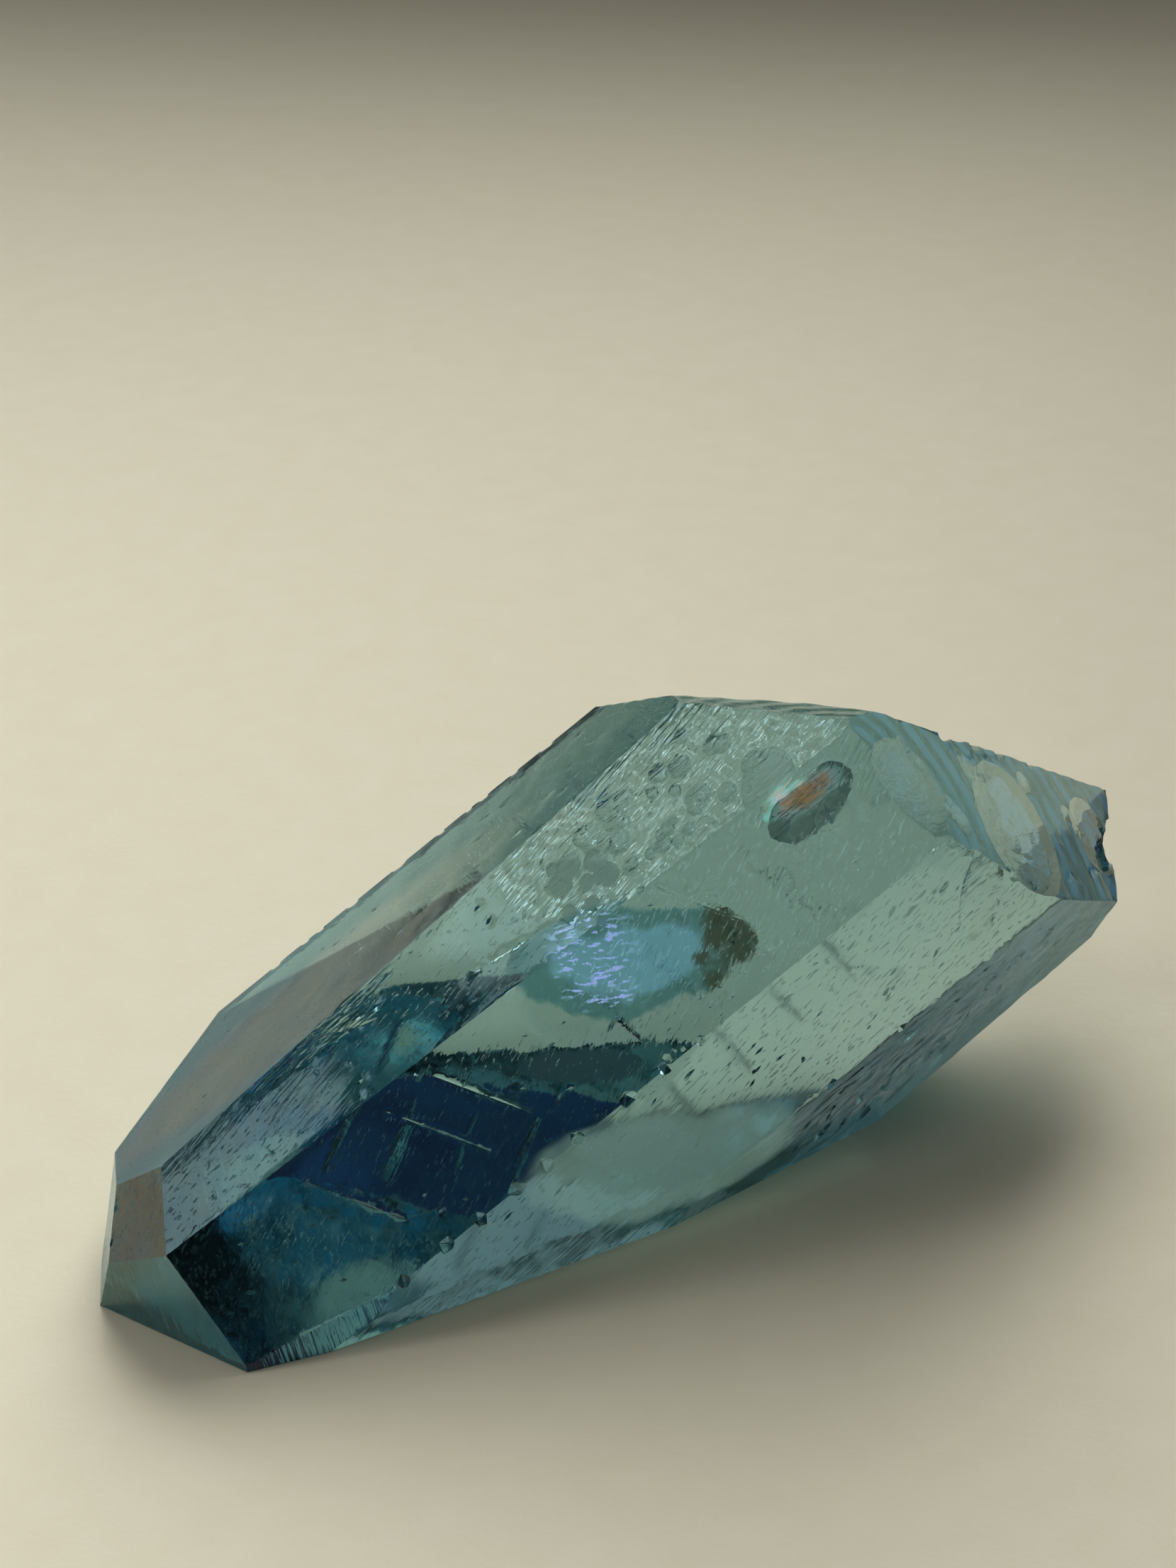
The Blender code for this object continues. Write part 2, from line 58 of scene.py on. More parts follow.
# Settings that many nodes share. A colour mix's sockets go by number, because
# its other kinds have sockets of the same names.
PLUS = {"operation": "ADD"}
MINUS = {"operation": "SUBTRACT"}
TIMES = {"operation": "MULTIPLY"}
TIMES_PLUS = {"operation": "MULTIPLY_ADD"}
OVER = {"operation": "DIVIDE"}
SMOOTH = {"interpolation_type": "SMOOTHSTEP"}
COLOUR_MIX = {"data_type": "RGBA"}
SHARE, FIRST, SECOND = 0, 6, 7
MIXED = 2
CLEAR = (1.0, 1.0, 1.0, 1.0)

Tree = bpy.types.NodeTree
Node = bpy.types.Node
Socket = bpy.types.NodeSocket


def linear(hex_colour: str) -> tuple:
    """Turn an sRGB hex colour to linear red, green, blue and alpha.

    Args:
        hex_colour: The colour as "#rrggbb".

    Returns:
        Four floats for a colour socket.
    """
    values = [int(hex_colour[at:at + 2], 16) / 255.0 for at in (1, 3, 5)]
    turned = [
        value / 12.92 if value <= 0.04045 else ((value + 0.055) / 1.055) ** 2.4
        for value in values
    ]
    return (*turned, 1.0)


def add_node(
    tree: Tree,
    kind: str,
    settings: Optional[dict] = None,
    inputs: Optional[dict] = None,
) -> Node:
    """Add a node, set its properties, and set or link its inputs.

    Args:
        tree: The node tree that gets the node.
        kind: The node's type name.
        settings: Properties of the node, by name.
        inputs: Values or output sockets to link, by input name or number.

    Returns:
        The new node.
    """
    node = tree.nodes.new(kind)
    for name, value in (settings or {}).items():
        setattr(node, name, value)
    for name, value in (inputs or {}).items():
        socket = node.inputs[name]
        if isinstance(value, Socket):
            tree.links.new(value, socket)
        else:
            socket.default_value = value
    return node


def empty_material(name: str) -> bpy.types.Material:
    """Make a material whose node tree is empty.

    Args:
        name: The material's name.

    Returns:
        The material, ready for its nodes.
    """
    material = bpy.data.materials.new(name)
    material.use_nodes = True
    material.node_tree.nodes.clear()
    return material


def link_mesh(name: str, mesh: bpy.types.Mesh) -> bpy.types.Object:
    """Put a mesh into the scene.

    Args:
        name: The new object's name.
        mesh: The mesh, with its place in it.

    Returns:
        The new object.
    """
    placed = bpy.data.objects.new(name, mesh)
    bpy.context.scene.collection.objects.link(placed)
    return placed


def store(mesh: bpy.types.Mesh, name: str, domain: str, values: np.ndarray) -> None:
    """Store numbers or vectors on a mesh.

    Args:
        mesh: The mesh that gets the attribute.
        name: The attribute's name.
        domain: "POINT" or "CORNER".
        values: A number for each element, or a row of three.
    """
    kind, field = ("FLOAT", "value") if values.ndim == 1 else ("FLOAT_VECTOR", "vector")
    attribute = mesh.attributes.new(name, kind, domain)
    attribute.data.foreach_set(field, values.astype(np.float32).ravel())


def read_all(elements: bpy.types.bpy_prop_collection, field: str, width: int) -> np.ndarray:
    """Read one field of all of a mesh's elements.

    Args:
        elements: The mesh's vertices, corners or faces.
        field: The field's name.
        width: 3 for a vector, and 1 for a whole number.

    Returns:
        A row of three for each element, or a number.
    """
    values = np.empty(len(elements) * width, float if width == 3 else int)
    elements.foreach_get(field, values)
    return values.reshape(-1, 3) if width == 3 else values


def crystal_to_row() -> Matrix:
    """The matrix from the crystal's own axes, in millimetres, to the row frame in metres."""
    turn = Matrix.Rotation(math.radians(-AXIS_RISE_DEG), 4, "Y")
    return Matrix.Scale(MM, 4) @ Matrix.Translation(Vector(CRYSTAL_MIDDLE_MM)) @ turn


def row_turn() -> Matrix:
    """The rotation from the crystal's own axes to the row frame."""
    return crystal_to_row().to_3x3().normalized()


def own_places(places: np.ndarray) -> np.ndarray:
    """Places in metres in the row frame, in the crystal's own axes and millimetres."""
    return (places / MM - np.array(CRYSTAL_MIDDLE_MM)) @ np.array(row_turn())


class Zone(Enum):
    """The kinds of surface on the crystal, by the name of the vertex attribute of each."""

    CROWN = "crown"
    FRONT = "front"
    LOWER = "lower"
    OVERHANG = "overhang"
    SHOULDER = "shoulder"
    SIDE = "side"
    UNDER = "under"
    TIP = "tip"
    HEEL = "heel"
    BROKEN = "broken"
    REST = "rest"
    WORN = "worn"
    HAMMERED = "hammered"
    CRACK = "crack"
    LAVENDER = "lavender"
    ETCHED = "etched"
    FANNED = "fanned"
    SCUFFED = "scuffed"


@dataclass(frozen=True)
class CrystalFace:
    """One of the crystal's flat faces, placed as in its solid."""

    name: str
    azimuth_deg: float
    tilt_deg: float
    distance_mm: float
    zone: Zone

    def normal(self) -> Vector:
        """The outward unit normal, in the crystal's own axes.

        Returns:
            A unit vector.
        """
        azimuth = math.radians(self.azimuth_deg)
        tilt = math.radians(self.tilt_deg)
        return Vector((
            math.sin(tilt),
            -math.cos(tilt) * math.sin(azimuth),
            math.cos(tilt) * math.cos(azimuth),
        ))

    def axes(self, turn_deg: float = 0.0) -> tuple:
        """Directions along the crystal, across it and outwards, in its own axes.

        Args:
            turn_deg: How far the first two are turned about the third.

        Returns:
            Three unit vectors.
        """
        outwards = self.normal()
        along = (Vector((1.0, 0.0, 0.0)) - outwards * outwards.x).normalized()
        turn = Matrix.Rotation(math.radians(turn_deg), 3, outwards)
        return turn @ along, turn @ outwards.cross(along), outwards

    def row_axes(self, turn_deg: float = 0.0) -> list:
        """The same three directions in the row frame."""
        return [row_turn() @ way for way in self.axes(turn_deg)]

    def point(self, along_mm: float, across_mm: float, lift_mm: float = 0.0) -> Vector:
        """A point by its distances from the foot of the face's normal.

        Args:
            along_mm: How far along the crystal.
            across_mm: How far across it.
            lift_mm: How far outwards from the face.

        Returns:
            The point, in metres in the row frame.
        """
        along, across, outwards = self.axes()
        place = outwards * (self.distance_mm + lift_mm) + along * along_mm + across * across_mm
        return crystal_to_row() @ place


FACES = (
    CrystalFace("crown", 16.0, 1.5, 8.4, Zone.CROWN),
    CrystalFace("front", 52.0, 0.0, 8.2, Zone.FRONT),
    CrystalFace("lower_front", 86.0, -1.0, 8.65, Zone.LOWER),
    CrystalFace("front_foot", 99.0, -6.0, 9.62, Zone.OVERHANG),
    CrystalFace("overhang", 111.0, -2.0, 9.75, Zone.OVERHANG),
    CrystalFace("under", 173.0, 1.5, 10.95, Zone.UNDER),
    CrystalFace("under_back", -138.5, 2.0, 8.4, Zone.SIDE),
    CrystalFace("back", -83.5, 5.0, 10.2, Zone.SIDE),
    CrystalFace("top_back", -26.0, -1.0, 8.25, Zone.SHOULDER),
    CrystalFace("rest", 180.0, -AXIS_RISE_DEG, 7.0, Zone.REST),
    CrystalFace("tip_front", 45.5, -60.5, 24.5, Zone.TIP),
    CrystalFace("tip_top", -4.5, -27.0, 17.6, Zone.TIP),
    CrystalFace("tip_side", -40.5, -43.5, 20.7, Zone.TIP),
    CrystalFace("tip_back", -86.5, -37.0, 17.3, Zone.TIP),
    CrystalFace("heel", 76.0, -5.75, 10.3, Zone.HEEL),
    CrystalFace("break_main", 50.0, 48.5, 14.5, Zone.BROKEN),
    CrystalFace("break_band", -16.0, 37.0, 11.85, Zone.BROKEN),
    CrystalFace("break_top", -34.5, 43.0, 11.75, Zone.BROKEN),
    CrystalFace("break_back", -33.0, 49.5, 12.4, Zone.BROKEN),
    CrystalFace("break_end", 150.0, 26.0, 18.4, Zone.UNDER),
)


def face_named(name: str) -> CrystalFace:
    """The crystal's face of that name."""
    return next(face for face in FACES if face.name == name)


@dataclass(frozen=True)
class Patch:
    """A soft oval area on one face, marked as a zone of its own."""

    face: str
    zone: Zone
    along_mm: float
    across_mm: float
    reach_mm: tuple
    turn_deg: float = 0.0
    soft: float = 0.45

    def weights(self, places: np.ndarray) -> np.ndarray:
        """How far each place belongs to the patch.

        Args:
            places: Places in metres in the row frame.

        Returns:
            A share from 0 to 1 for each place.
        """
        face = face_named(self.face)
        gaps = (places - np.array(face.point(self.along_mm, self.across_mm))) / MM
        along, across, _ = face.row_axes(self.turn_deg)
        first = gaps @ np.array(along) / self.reach_mm[0]
        second = gaps @ np.array(across) / self.reach_mm[1]
        radius = np.sqrt(first * first + second * second)
        level = np.clip((1.0 + self.soft - radius) / self.soft, 0.0, 1.0)
        return level * level * (3.0 - 2.0 * level)


PATCHES = (
    Patch("crown", Zone.HAMMERED, 5.0, 0.4, (6.6, 3.4), -8.0),
    Patch("top_back", Zone.LAVENDER, -11.0, 0.0, (7.5, 3.0), 0.0, 0.8),
    Patch("front", Zone.ETCHED, 6.5, 0.0, (6.5, 5.0), -20.0, 0.8),
    Patch("crown", Zone.FANNED, -14.0, 2.4, (8.0, 0.7), 4.0, 0.6),
    Patch("under_back", Zone.SCUFFED, -1.6, -2.6, (2.4, 2.0), 0.0, 0.4),
)

# The thin open crack that the solid has under its front face, near the break.
CRACK_PLACE_MM = (8.7, 1.15)
CRACK_SINK_MM = 0.43
CRACK_REACH_MM = 2.6


@dataclass(frozen=True)
class Grain:
    """A noise drawn out along one direction of a zone, which wears its surface."""

    zone: Zone
    face: str
    depth_mm: float
    long_mm: float
    wide_mm: float
    turn_deg: float
    low: float
    high: float
    detail: float = 1.0

    def directions(self) -> list:
        """The noise's three axes in the row frame.

        Returns:
            Three vectors, each as long as its waves to the metre.
        """
        ways = face_named(self.face).row_axes(self.turn_deg)
        lengths = (self.long_mm, self.wide_mm, self.wide_mm)
        return [way / (length * MM) for way, length in zip(ways, lengths)]


# Marks deep enough for the mesh, all worn inwards: slow waves of growth over the
# faces, dents where the crown is hammered, and knobbly edges.
COARSE_GRAINS = (
    Grain(Zone.CROWN, "crown", 0.016, 5.0, 2.4, 10.0, 0.25, 0.75),
    Grain(Zone.CROWN, "crown", 0.003, 3.0, 0.55, 12.0, 0.35, 0.70),
    Grain(Zone.FRONT, "front", 0.026, 6.0, 2.8, 20.0, 0.25, 0.75),
    Grain(Zone.FRONT, "front", 0.012, 2.6, 0.70, 24.0, 0.40, 0.70),
    Grain(Zone.LOWER, "lower_front", 0.040, 6.0, 2.4, 8.0, 0.25, 0.75),
    Grain(Zone.OVERHANG, "overhang", 0.060, 1.6, 0.80, 10.0, 0.30, 0.70),
    Grain(Zone.SHOULDER, "top_back", 0.022, 3.4, 1.6, 60.0, 0.25, 0.75),
    Grain(Zone.SIDE, "back", 0.020, 5.0, 2.6, 60.0, 0.25, 0.75),
    Grain(Zone.UNDER, "under", 0.060, 2.0, 1.0, 60.0, 0.25, 0.75),
    Grain(Zone.ETCHED, "front", 0.030, 1.4, 0.50, 30.0, 0.35, 0.70),
    Grain(Zone.TIP, "tip_front", 0.030, 2.0, 1.0, 60.0, 0.25, 0.75),
    Grain(Zone.HEEL, "heel", 0.040, 1.6, 0.55, 75.0, 0.30, 0.70),
    Grain(Zone.HAMMERED, "crown", 0.060, 0.60, 0.45, 20.0, 0.32, 0.66),
    Grain(Zone.BROKEN, "break_main", 0.050, 3.0, 1.2, 50.0, 0.25, 0.75),
    Grain(Zone.WORN, "crown", 0.060, 0.60, 0.45, 0.0, 0.30, 0.70),
)


def weight_of(tree: Tree, zone: Zone) -> Socket:
    """Read a zone's vertex attribute in a geometry tree.

    Args:
        tree: The geometry tree.
        zone: The zone to read.

    Returns:
        Its weight from 0 to 1.
    """
    named = add_node(tree, "GeometryNodeInputNamedAttribute", {"data_type": "FLOAT"},
                     {"Name": zone.value})
    return named.outputs["Attribute"]


def grain_level(tree: Tree, position: Socket, grain: Grain) -> Socket:
    """Build the nodes of one grain.

    Args:
        tree: The geometry tree.
        position: The place on the crystal, in metres.
        grain: What to build.

    Returns:
        The grain's level from 0 to 1, times its zone's weight.
    """
    levels = [
        add_node(tree, "ShaderNodeVectorMath", {"operation": "DOT_PRODUCT"},
                 {0: position, 1: direction}).outputs["Value"]
        for direction in grain.directions()
    ]
    place = add_node(tree, "ShaderNodeCombineXYZ", inputs=dict(zip("XYZ", levels)))
    noise = add_node(tree, "ShaderNodeTexNoise", inputs={
        "Vector": place.outputs["Vector"], "Scale": 1.0, "Detail": grain.detail})
    level = add_node(tree, "ShaderNodeMapRange", SMOOTH, {
        "Value": noise.outputs[0], "From Min": grain.low, "From Max": grain.high})
    weighted = add_node(tree, "ShaderNodeMath", TIMES,
                        {0: level.outputs["Result"], 1: weight_of(tree, grain.zone)})
    return weighted.outputs["Value"]


def grains_height(tree: Tree, position: Socket, grains: Iterable) -> Socket:
    """Add up grains, each times its depth in metres.

    Args:
        tree: The geometry tree.
        position: The place on the crystal, in metres.
        grains: The grains to add up.

    Returns:
        The total depth in metres.
    """
    total = 0.0
    for grain in grains:
        added = add_node(tree, "ShaderNodeMath", TIMES_PLUS, {
            0: grain_level(tree, position, grain), 1: grain.depth_mm * MM, 2: total})
        total = added.outputs["Value"]
    return total


@dataclass(frozen=True)
class ZoneFinish:
    """How one zone's skin differs from bare, polished quartz.

    The grain's turn is None where a patch keeps the grain of the face under it.
    """

    turn_deg: Optional[float]
    streaks_mm: float
    dashes_mm: float
    frost: float
    film_nm: float = 0.0
    # The shade is painted shade: a deeper tint that darkens the zone's faces.
    shade: float = 0.0


# Growth lines and etch marks on the natural faces, sugar-like facets where the crown is
# hammered, and fine steps fanning over the broken faces. The film is thicker on the tip, the
# shoulder and the heel, and thinner where the shoulder turns lavender. The shade column is
# painted shade: where it is high the tint deepens and darkens the faces, and below zero it
# lightens them.
ZONE_FINISHES = {
    Zone.CROWN: ZoneFinish(12.0, 0.0012, 0.014, 0.03, 0.0, 0.10),
    Zone.FRONT: ZoneFinish(24.0, 0.0020, 0.008, 0.01, 0.0, 0.12),
    Zone.LOWER: ZoneFinish(8.0, 0.0030, 0.016, 0.12, 0.0, 0.15),
    Zone.OVERHANG: ZoneFinish(10.0, 0.0100, 0.016, 0.12),
    Zone.SHOULDER: ZoneFinish(80.0, 0.0030, 0.010, 0.05, 120.0, 1.00),
    Zone.SIDE: ZoneFinish(80.0, 0.0016, 0.001, 0.02),
    Zone.UNDER: ZoneFinish(80.0, 0.0060, 0.004, 0.65),
    Zone.TIP: ZoneFinish(60.0, 0.0040, 0.006, 0.04, 24.0, 0.10),
    Zone.HEEL: ZoneFinish(75.0, 0.0200, 0.010, 0.10, 76.0, 1.00),
    Zone.BROKEN: ZoneFinish(50.0, 0.0060, 0.006, 0.12, 0.0, 0.85),
    Zone.WORN: ZoneFinish(0.0, 0.0080, 0.006, 0.05, 0.0, 0.10),
    Zone.CRACK: ZoneFinish(0.0, 0.0, 0.0, 0.30, 0.0, -0.10),
    Zone.HAMMERED: ZoneFinish(None, 0.0400, 0.070, 0.05),
    Zone.ETCHED: ZoneFinish(None, 0.0160, 0.034, 0.03, 0.0, 0.35),
    Zone.FANNED: ZoneFinish(None, 0.0220, 0.030, 0.05),
    Zone.SCUFFED: ZoneFinish(None, 0.0, 0.0, 0.75),
    Zone.LAVENDER: ZoneFinish(None, 0.0, 0.0, 0.0, -30.0, -0.95),
}


@dataclass(frozen=True)
class FineMark:
    """A kind of mark too fine for the mesh, as deep as the skin attribute it names."""

    attribute: str
    size_mm: tuple
    low: float
    high: float
    detail: float = 2.0


@dataclass(frozen=True)
class CoatedQuartz:
    """Rock crystal with a vapour-deposited metal film, baked on in a vacuum."""

    tint: str = "#cfdfdb"
    worn_tint: str = "#dbe3df"
    painted_shade_tint: str = "#66939f"
    tint_mm: float = 2.5
    ior: float = 1.544
    roughness: float = 0.03
    film_nm: float = 66.0
    film_ior: float = 1.9
    mirror_tint: str = "#bfe7ee"
    film_patch_mm: float = 1.1
    film_change_nm: float = 40.0
    absorbed: tuple = (0.09, 0.67, 0.79)
    absorbed_density: float = 50.0
    marks: tuple = (
        FineMark("streaks_mm", (2.6, 0.19, 0.19), 0.32, 0.76),
        FineMark("dashes_mm", (0.50, 0.12, 0.12), 0.60, 0.72),
    )

    def material(self) -> bpy.types.Material:
        """Build the crystal's material.

        Returns:
            A glassy material with an interference film and a teal body.
        """
        # The clear body shows the far faces through it, as pale and nearly black
        # areas with sharp edges, and turns teal where the way through it is long.
        # The film is thinner than a light wave, so it adds a cool, even sheen.
        material = empty_material("aqua_aura_quartz")
        tree = material.node_tree
        position = add_node(tree, "ShaderNodeTexCoord").outputs["Object"]
        shader = add_node(tree, "ShaderNodeBsdfPrincipled", inputs={
            "Base Color": self.tint_colour(tree, position),
            "Roughness": self.raised(tree, self.roughness, "frost"),
            "IOR": self.ior,
            "Transmission Weight": 1.0,
            "Thin Film Thickness": self.film(tree, position),
            "Thin Film IOR": self.film_ior,
            "Specular Tint": linear(self.mirror_tint),
            "Normal": self.marked_normal(tree),
        })
        inside = add_node(tree, "ShaderNodeVolumeAbsorption", inputs={
            "Color": (*self.absorbed, 1.0), "Density": self.absorbed_density})
        add_node(tree, "ShaderNodeOutputMaterial", inputs={
            "Surface": shader.outputs["BSDF"], "Volume": inside.outputs["Volume"]})
        return material

    def raised(self, tree: Tree, base: float, name: str) -> Socket:
        """Add a skin attribute to a base value.

        Args:
            tree: The material's tree.
            base: The base value.
            name: The attribute's name.

        Returns:
            Their sum.
        """
        skin = add_node(tree, "ShaderNodeAttribute", {"attribute_name": name})
        added = add_node(tree, "ShaderNodeMath", PLUS, {0: skin.outputs["Fac"], 1: base})
        return added.outputs["Value"]

    def film(self, tree: Tree, position: Socket) -> Socket:
        """Build the metal film's thickness, uneven from place to place.

        Args:
            tree: The material's tree.
            position: The place on the crystal, in metres.

        Returns:
            The optical thickness in nanometres.
        """
        cloud = add_node(tree, "ShaderNodeTexNoise", inputs={
            "Vector": position, "Scale": 1.0 / (self.film_patch_mm * MM), "Detail": 1.0})
        around = add_node(tree, "ShaderNodeMath", MINUS, {0: cloud.outputs[0], 1: 0.5})
        uneven = add_node(tree, "ShaderNodeMath", TIMES_PLUS, {
            0: around.outputs["Value"],
            1: self.film_change_nm,
            2: self.raised(tree, self.film_nm, "film_nm"),
        })
        return uneven.outputs["Value"]

    def tint_colour(self, tree: Tree, position: Socket) -> Socket:
        """Build the film's pale tint, clearer where rubbed, and deepened zone by zone by
        painted shade.

        Args:
            tree: The material's tree.
            position: The place on the crystal, in metres.

        Returns:
            The tint's colour.
        """
        cloud = add_node(tree, "ShaderNodeTexNoise", inputs={
            "Vector": position, "Scale": 1.0 / (self.tint_mm * MM), "Detail": 1.0})
        mix = add_node(tree, "ShaderNodeMix", COLOUR_MIX, {
            SHARE: cloud.outputs[0],
            FIRST: linear(self.tint),
            SECOND: linear(self.worn_tint),
        })
        # The shade attribute paints shade: it mixes in a deeper tint that darkens chosen
        # faces.
        skin = add_node(tree, "ShaderNodeAttribute", {"attribute_name": "shade"})
        shaded = add_node(tree, "ShaderNodeMix", COLOUR_MIX, {
            SHARE: skin.outputs["Fac"],
            FIRST: mix.outputs[MIXED],
            SECOND: linear(self.painted_shade_tint),
        })
        return shaded.outputs[MIXED]

    def marked_normal(self, tree: Tree) -> Socket:
        """Build growth streaks and etched dashes along each zone's own grain.

        Args:
            tree: The material's tree.

        Returns:
            The surface's normal with the marks.
        """
        place = add_node(tree, "ShaderNodeAttribute", {"attribute_name": "grain"})
        total = 0.0
        for mark in self.marks:
            shrunk = add_node(tree, "ShaderNodeVectorMath", OVER,
                              {0: place.outputs["Vector"], 1: mark.size_mm})
            noise = add_node(tree, "ShaderNodeTexNoise", inputs={
                "Vector": shrunk.outputs["Vector"], "Scale": 1.0, "Detail": mark.detail})
            level = add_node(tree, "ShaderNodeMapRange", SMOOTH, {
                "Value": noise.outputs[0], "From Min": mark.low, "From Max": mark.high})
            depth = add_node(tree, "ShaderNodeAttribute", {"attribute_name": mark.attribute})
            added = add_node(tree, "ShaderNodeMath", TIMES_PLUS, {
                0: level.outputs["Result"], 1: depth.outputs["Fac"], 2: total})
            total = added.outputs["Value"]
        bump = add_node(tree, "ShaderNodeBump", {"invert": True},
                        {"Strength": 1.0, "Distance": MM, "Height": total})
        return bump.outputs["Normal"]


@dataclass
class ZoneMarks:
    """What the relief and the material read of the zones, stored on the fine mesh."""

    mesh: bpy.types.Mesh
    shares: dict

    def store_all(self) -> None:
        """Store the zones, their finishes and their grain."""
        corners = read_all(self.mesh.loops, "vertex_index", 1)
        owners = np.repeat(np.arange(len(self.mesh.polygons)), 3)
        self.store_zones(corners, owners)
        for name in ("streaks_mm", "dashes_mm", "frost", "film_nm", "shade"):
            total = sum(
                share * getattr(ZONE_FINISHES[zone], name)
                for zone, share in self.shares.items() if zone in ZONE_FINISHES
            )
            store(self.mesh, name, "CORNER", total[owners])
        self.store_grain(corners, owners)

    def store_zones(self, corners: np.ndarray, owners: np.ndarray) -> None:
        """Store the zones that the relief reads, averaged onto the vertices.

        Args:
            corners: The vertex of each corner.
            owners: The triangle of each corner.
        """
        count = len(self.mesh.vertices)
        used = np.maximum(np.bincount(corners, minlength=count), 1)
        read = {grain.zone for grain in COARSE_GRAINS} | {Zone.REST}
        for zone, share in self.shares.items():
            if zone in read:
                total = np.bincount(corners, weights=share[owners], minlength=count)
                store(self.mesh, zone.value, "POINT", total / used)

    def store_grain(self, corners: np.ndarray, owners: np.ndarray) -> None:
        """Store each corner's place along and across its zone's grain, in millimetres.

        Args:
            corners: The vertex of each corner.
            owners: The triangle of each corner.
        """
        own = own_places(read_all(self.mesh.vertices, "co", 3))[corners]
        grain = own.copy()
        for zone, finish in ZONE_FINISHES.items():
            if finish.turn_deg is not None:
                face = next((face for face in FACES if face.zone is zone), FACES[0])
                chosen = self.shares[zone][owners] > 0.5
                grain[chosen] = own[chosen] @ np.array(face.axes(finish.turn_deg)).T
        store(self.mesh, "grain", "CORNER", grain)


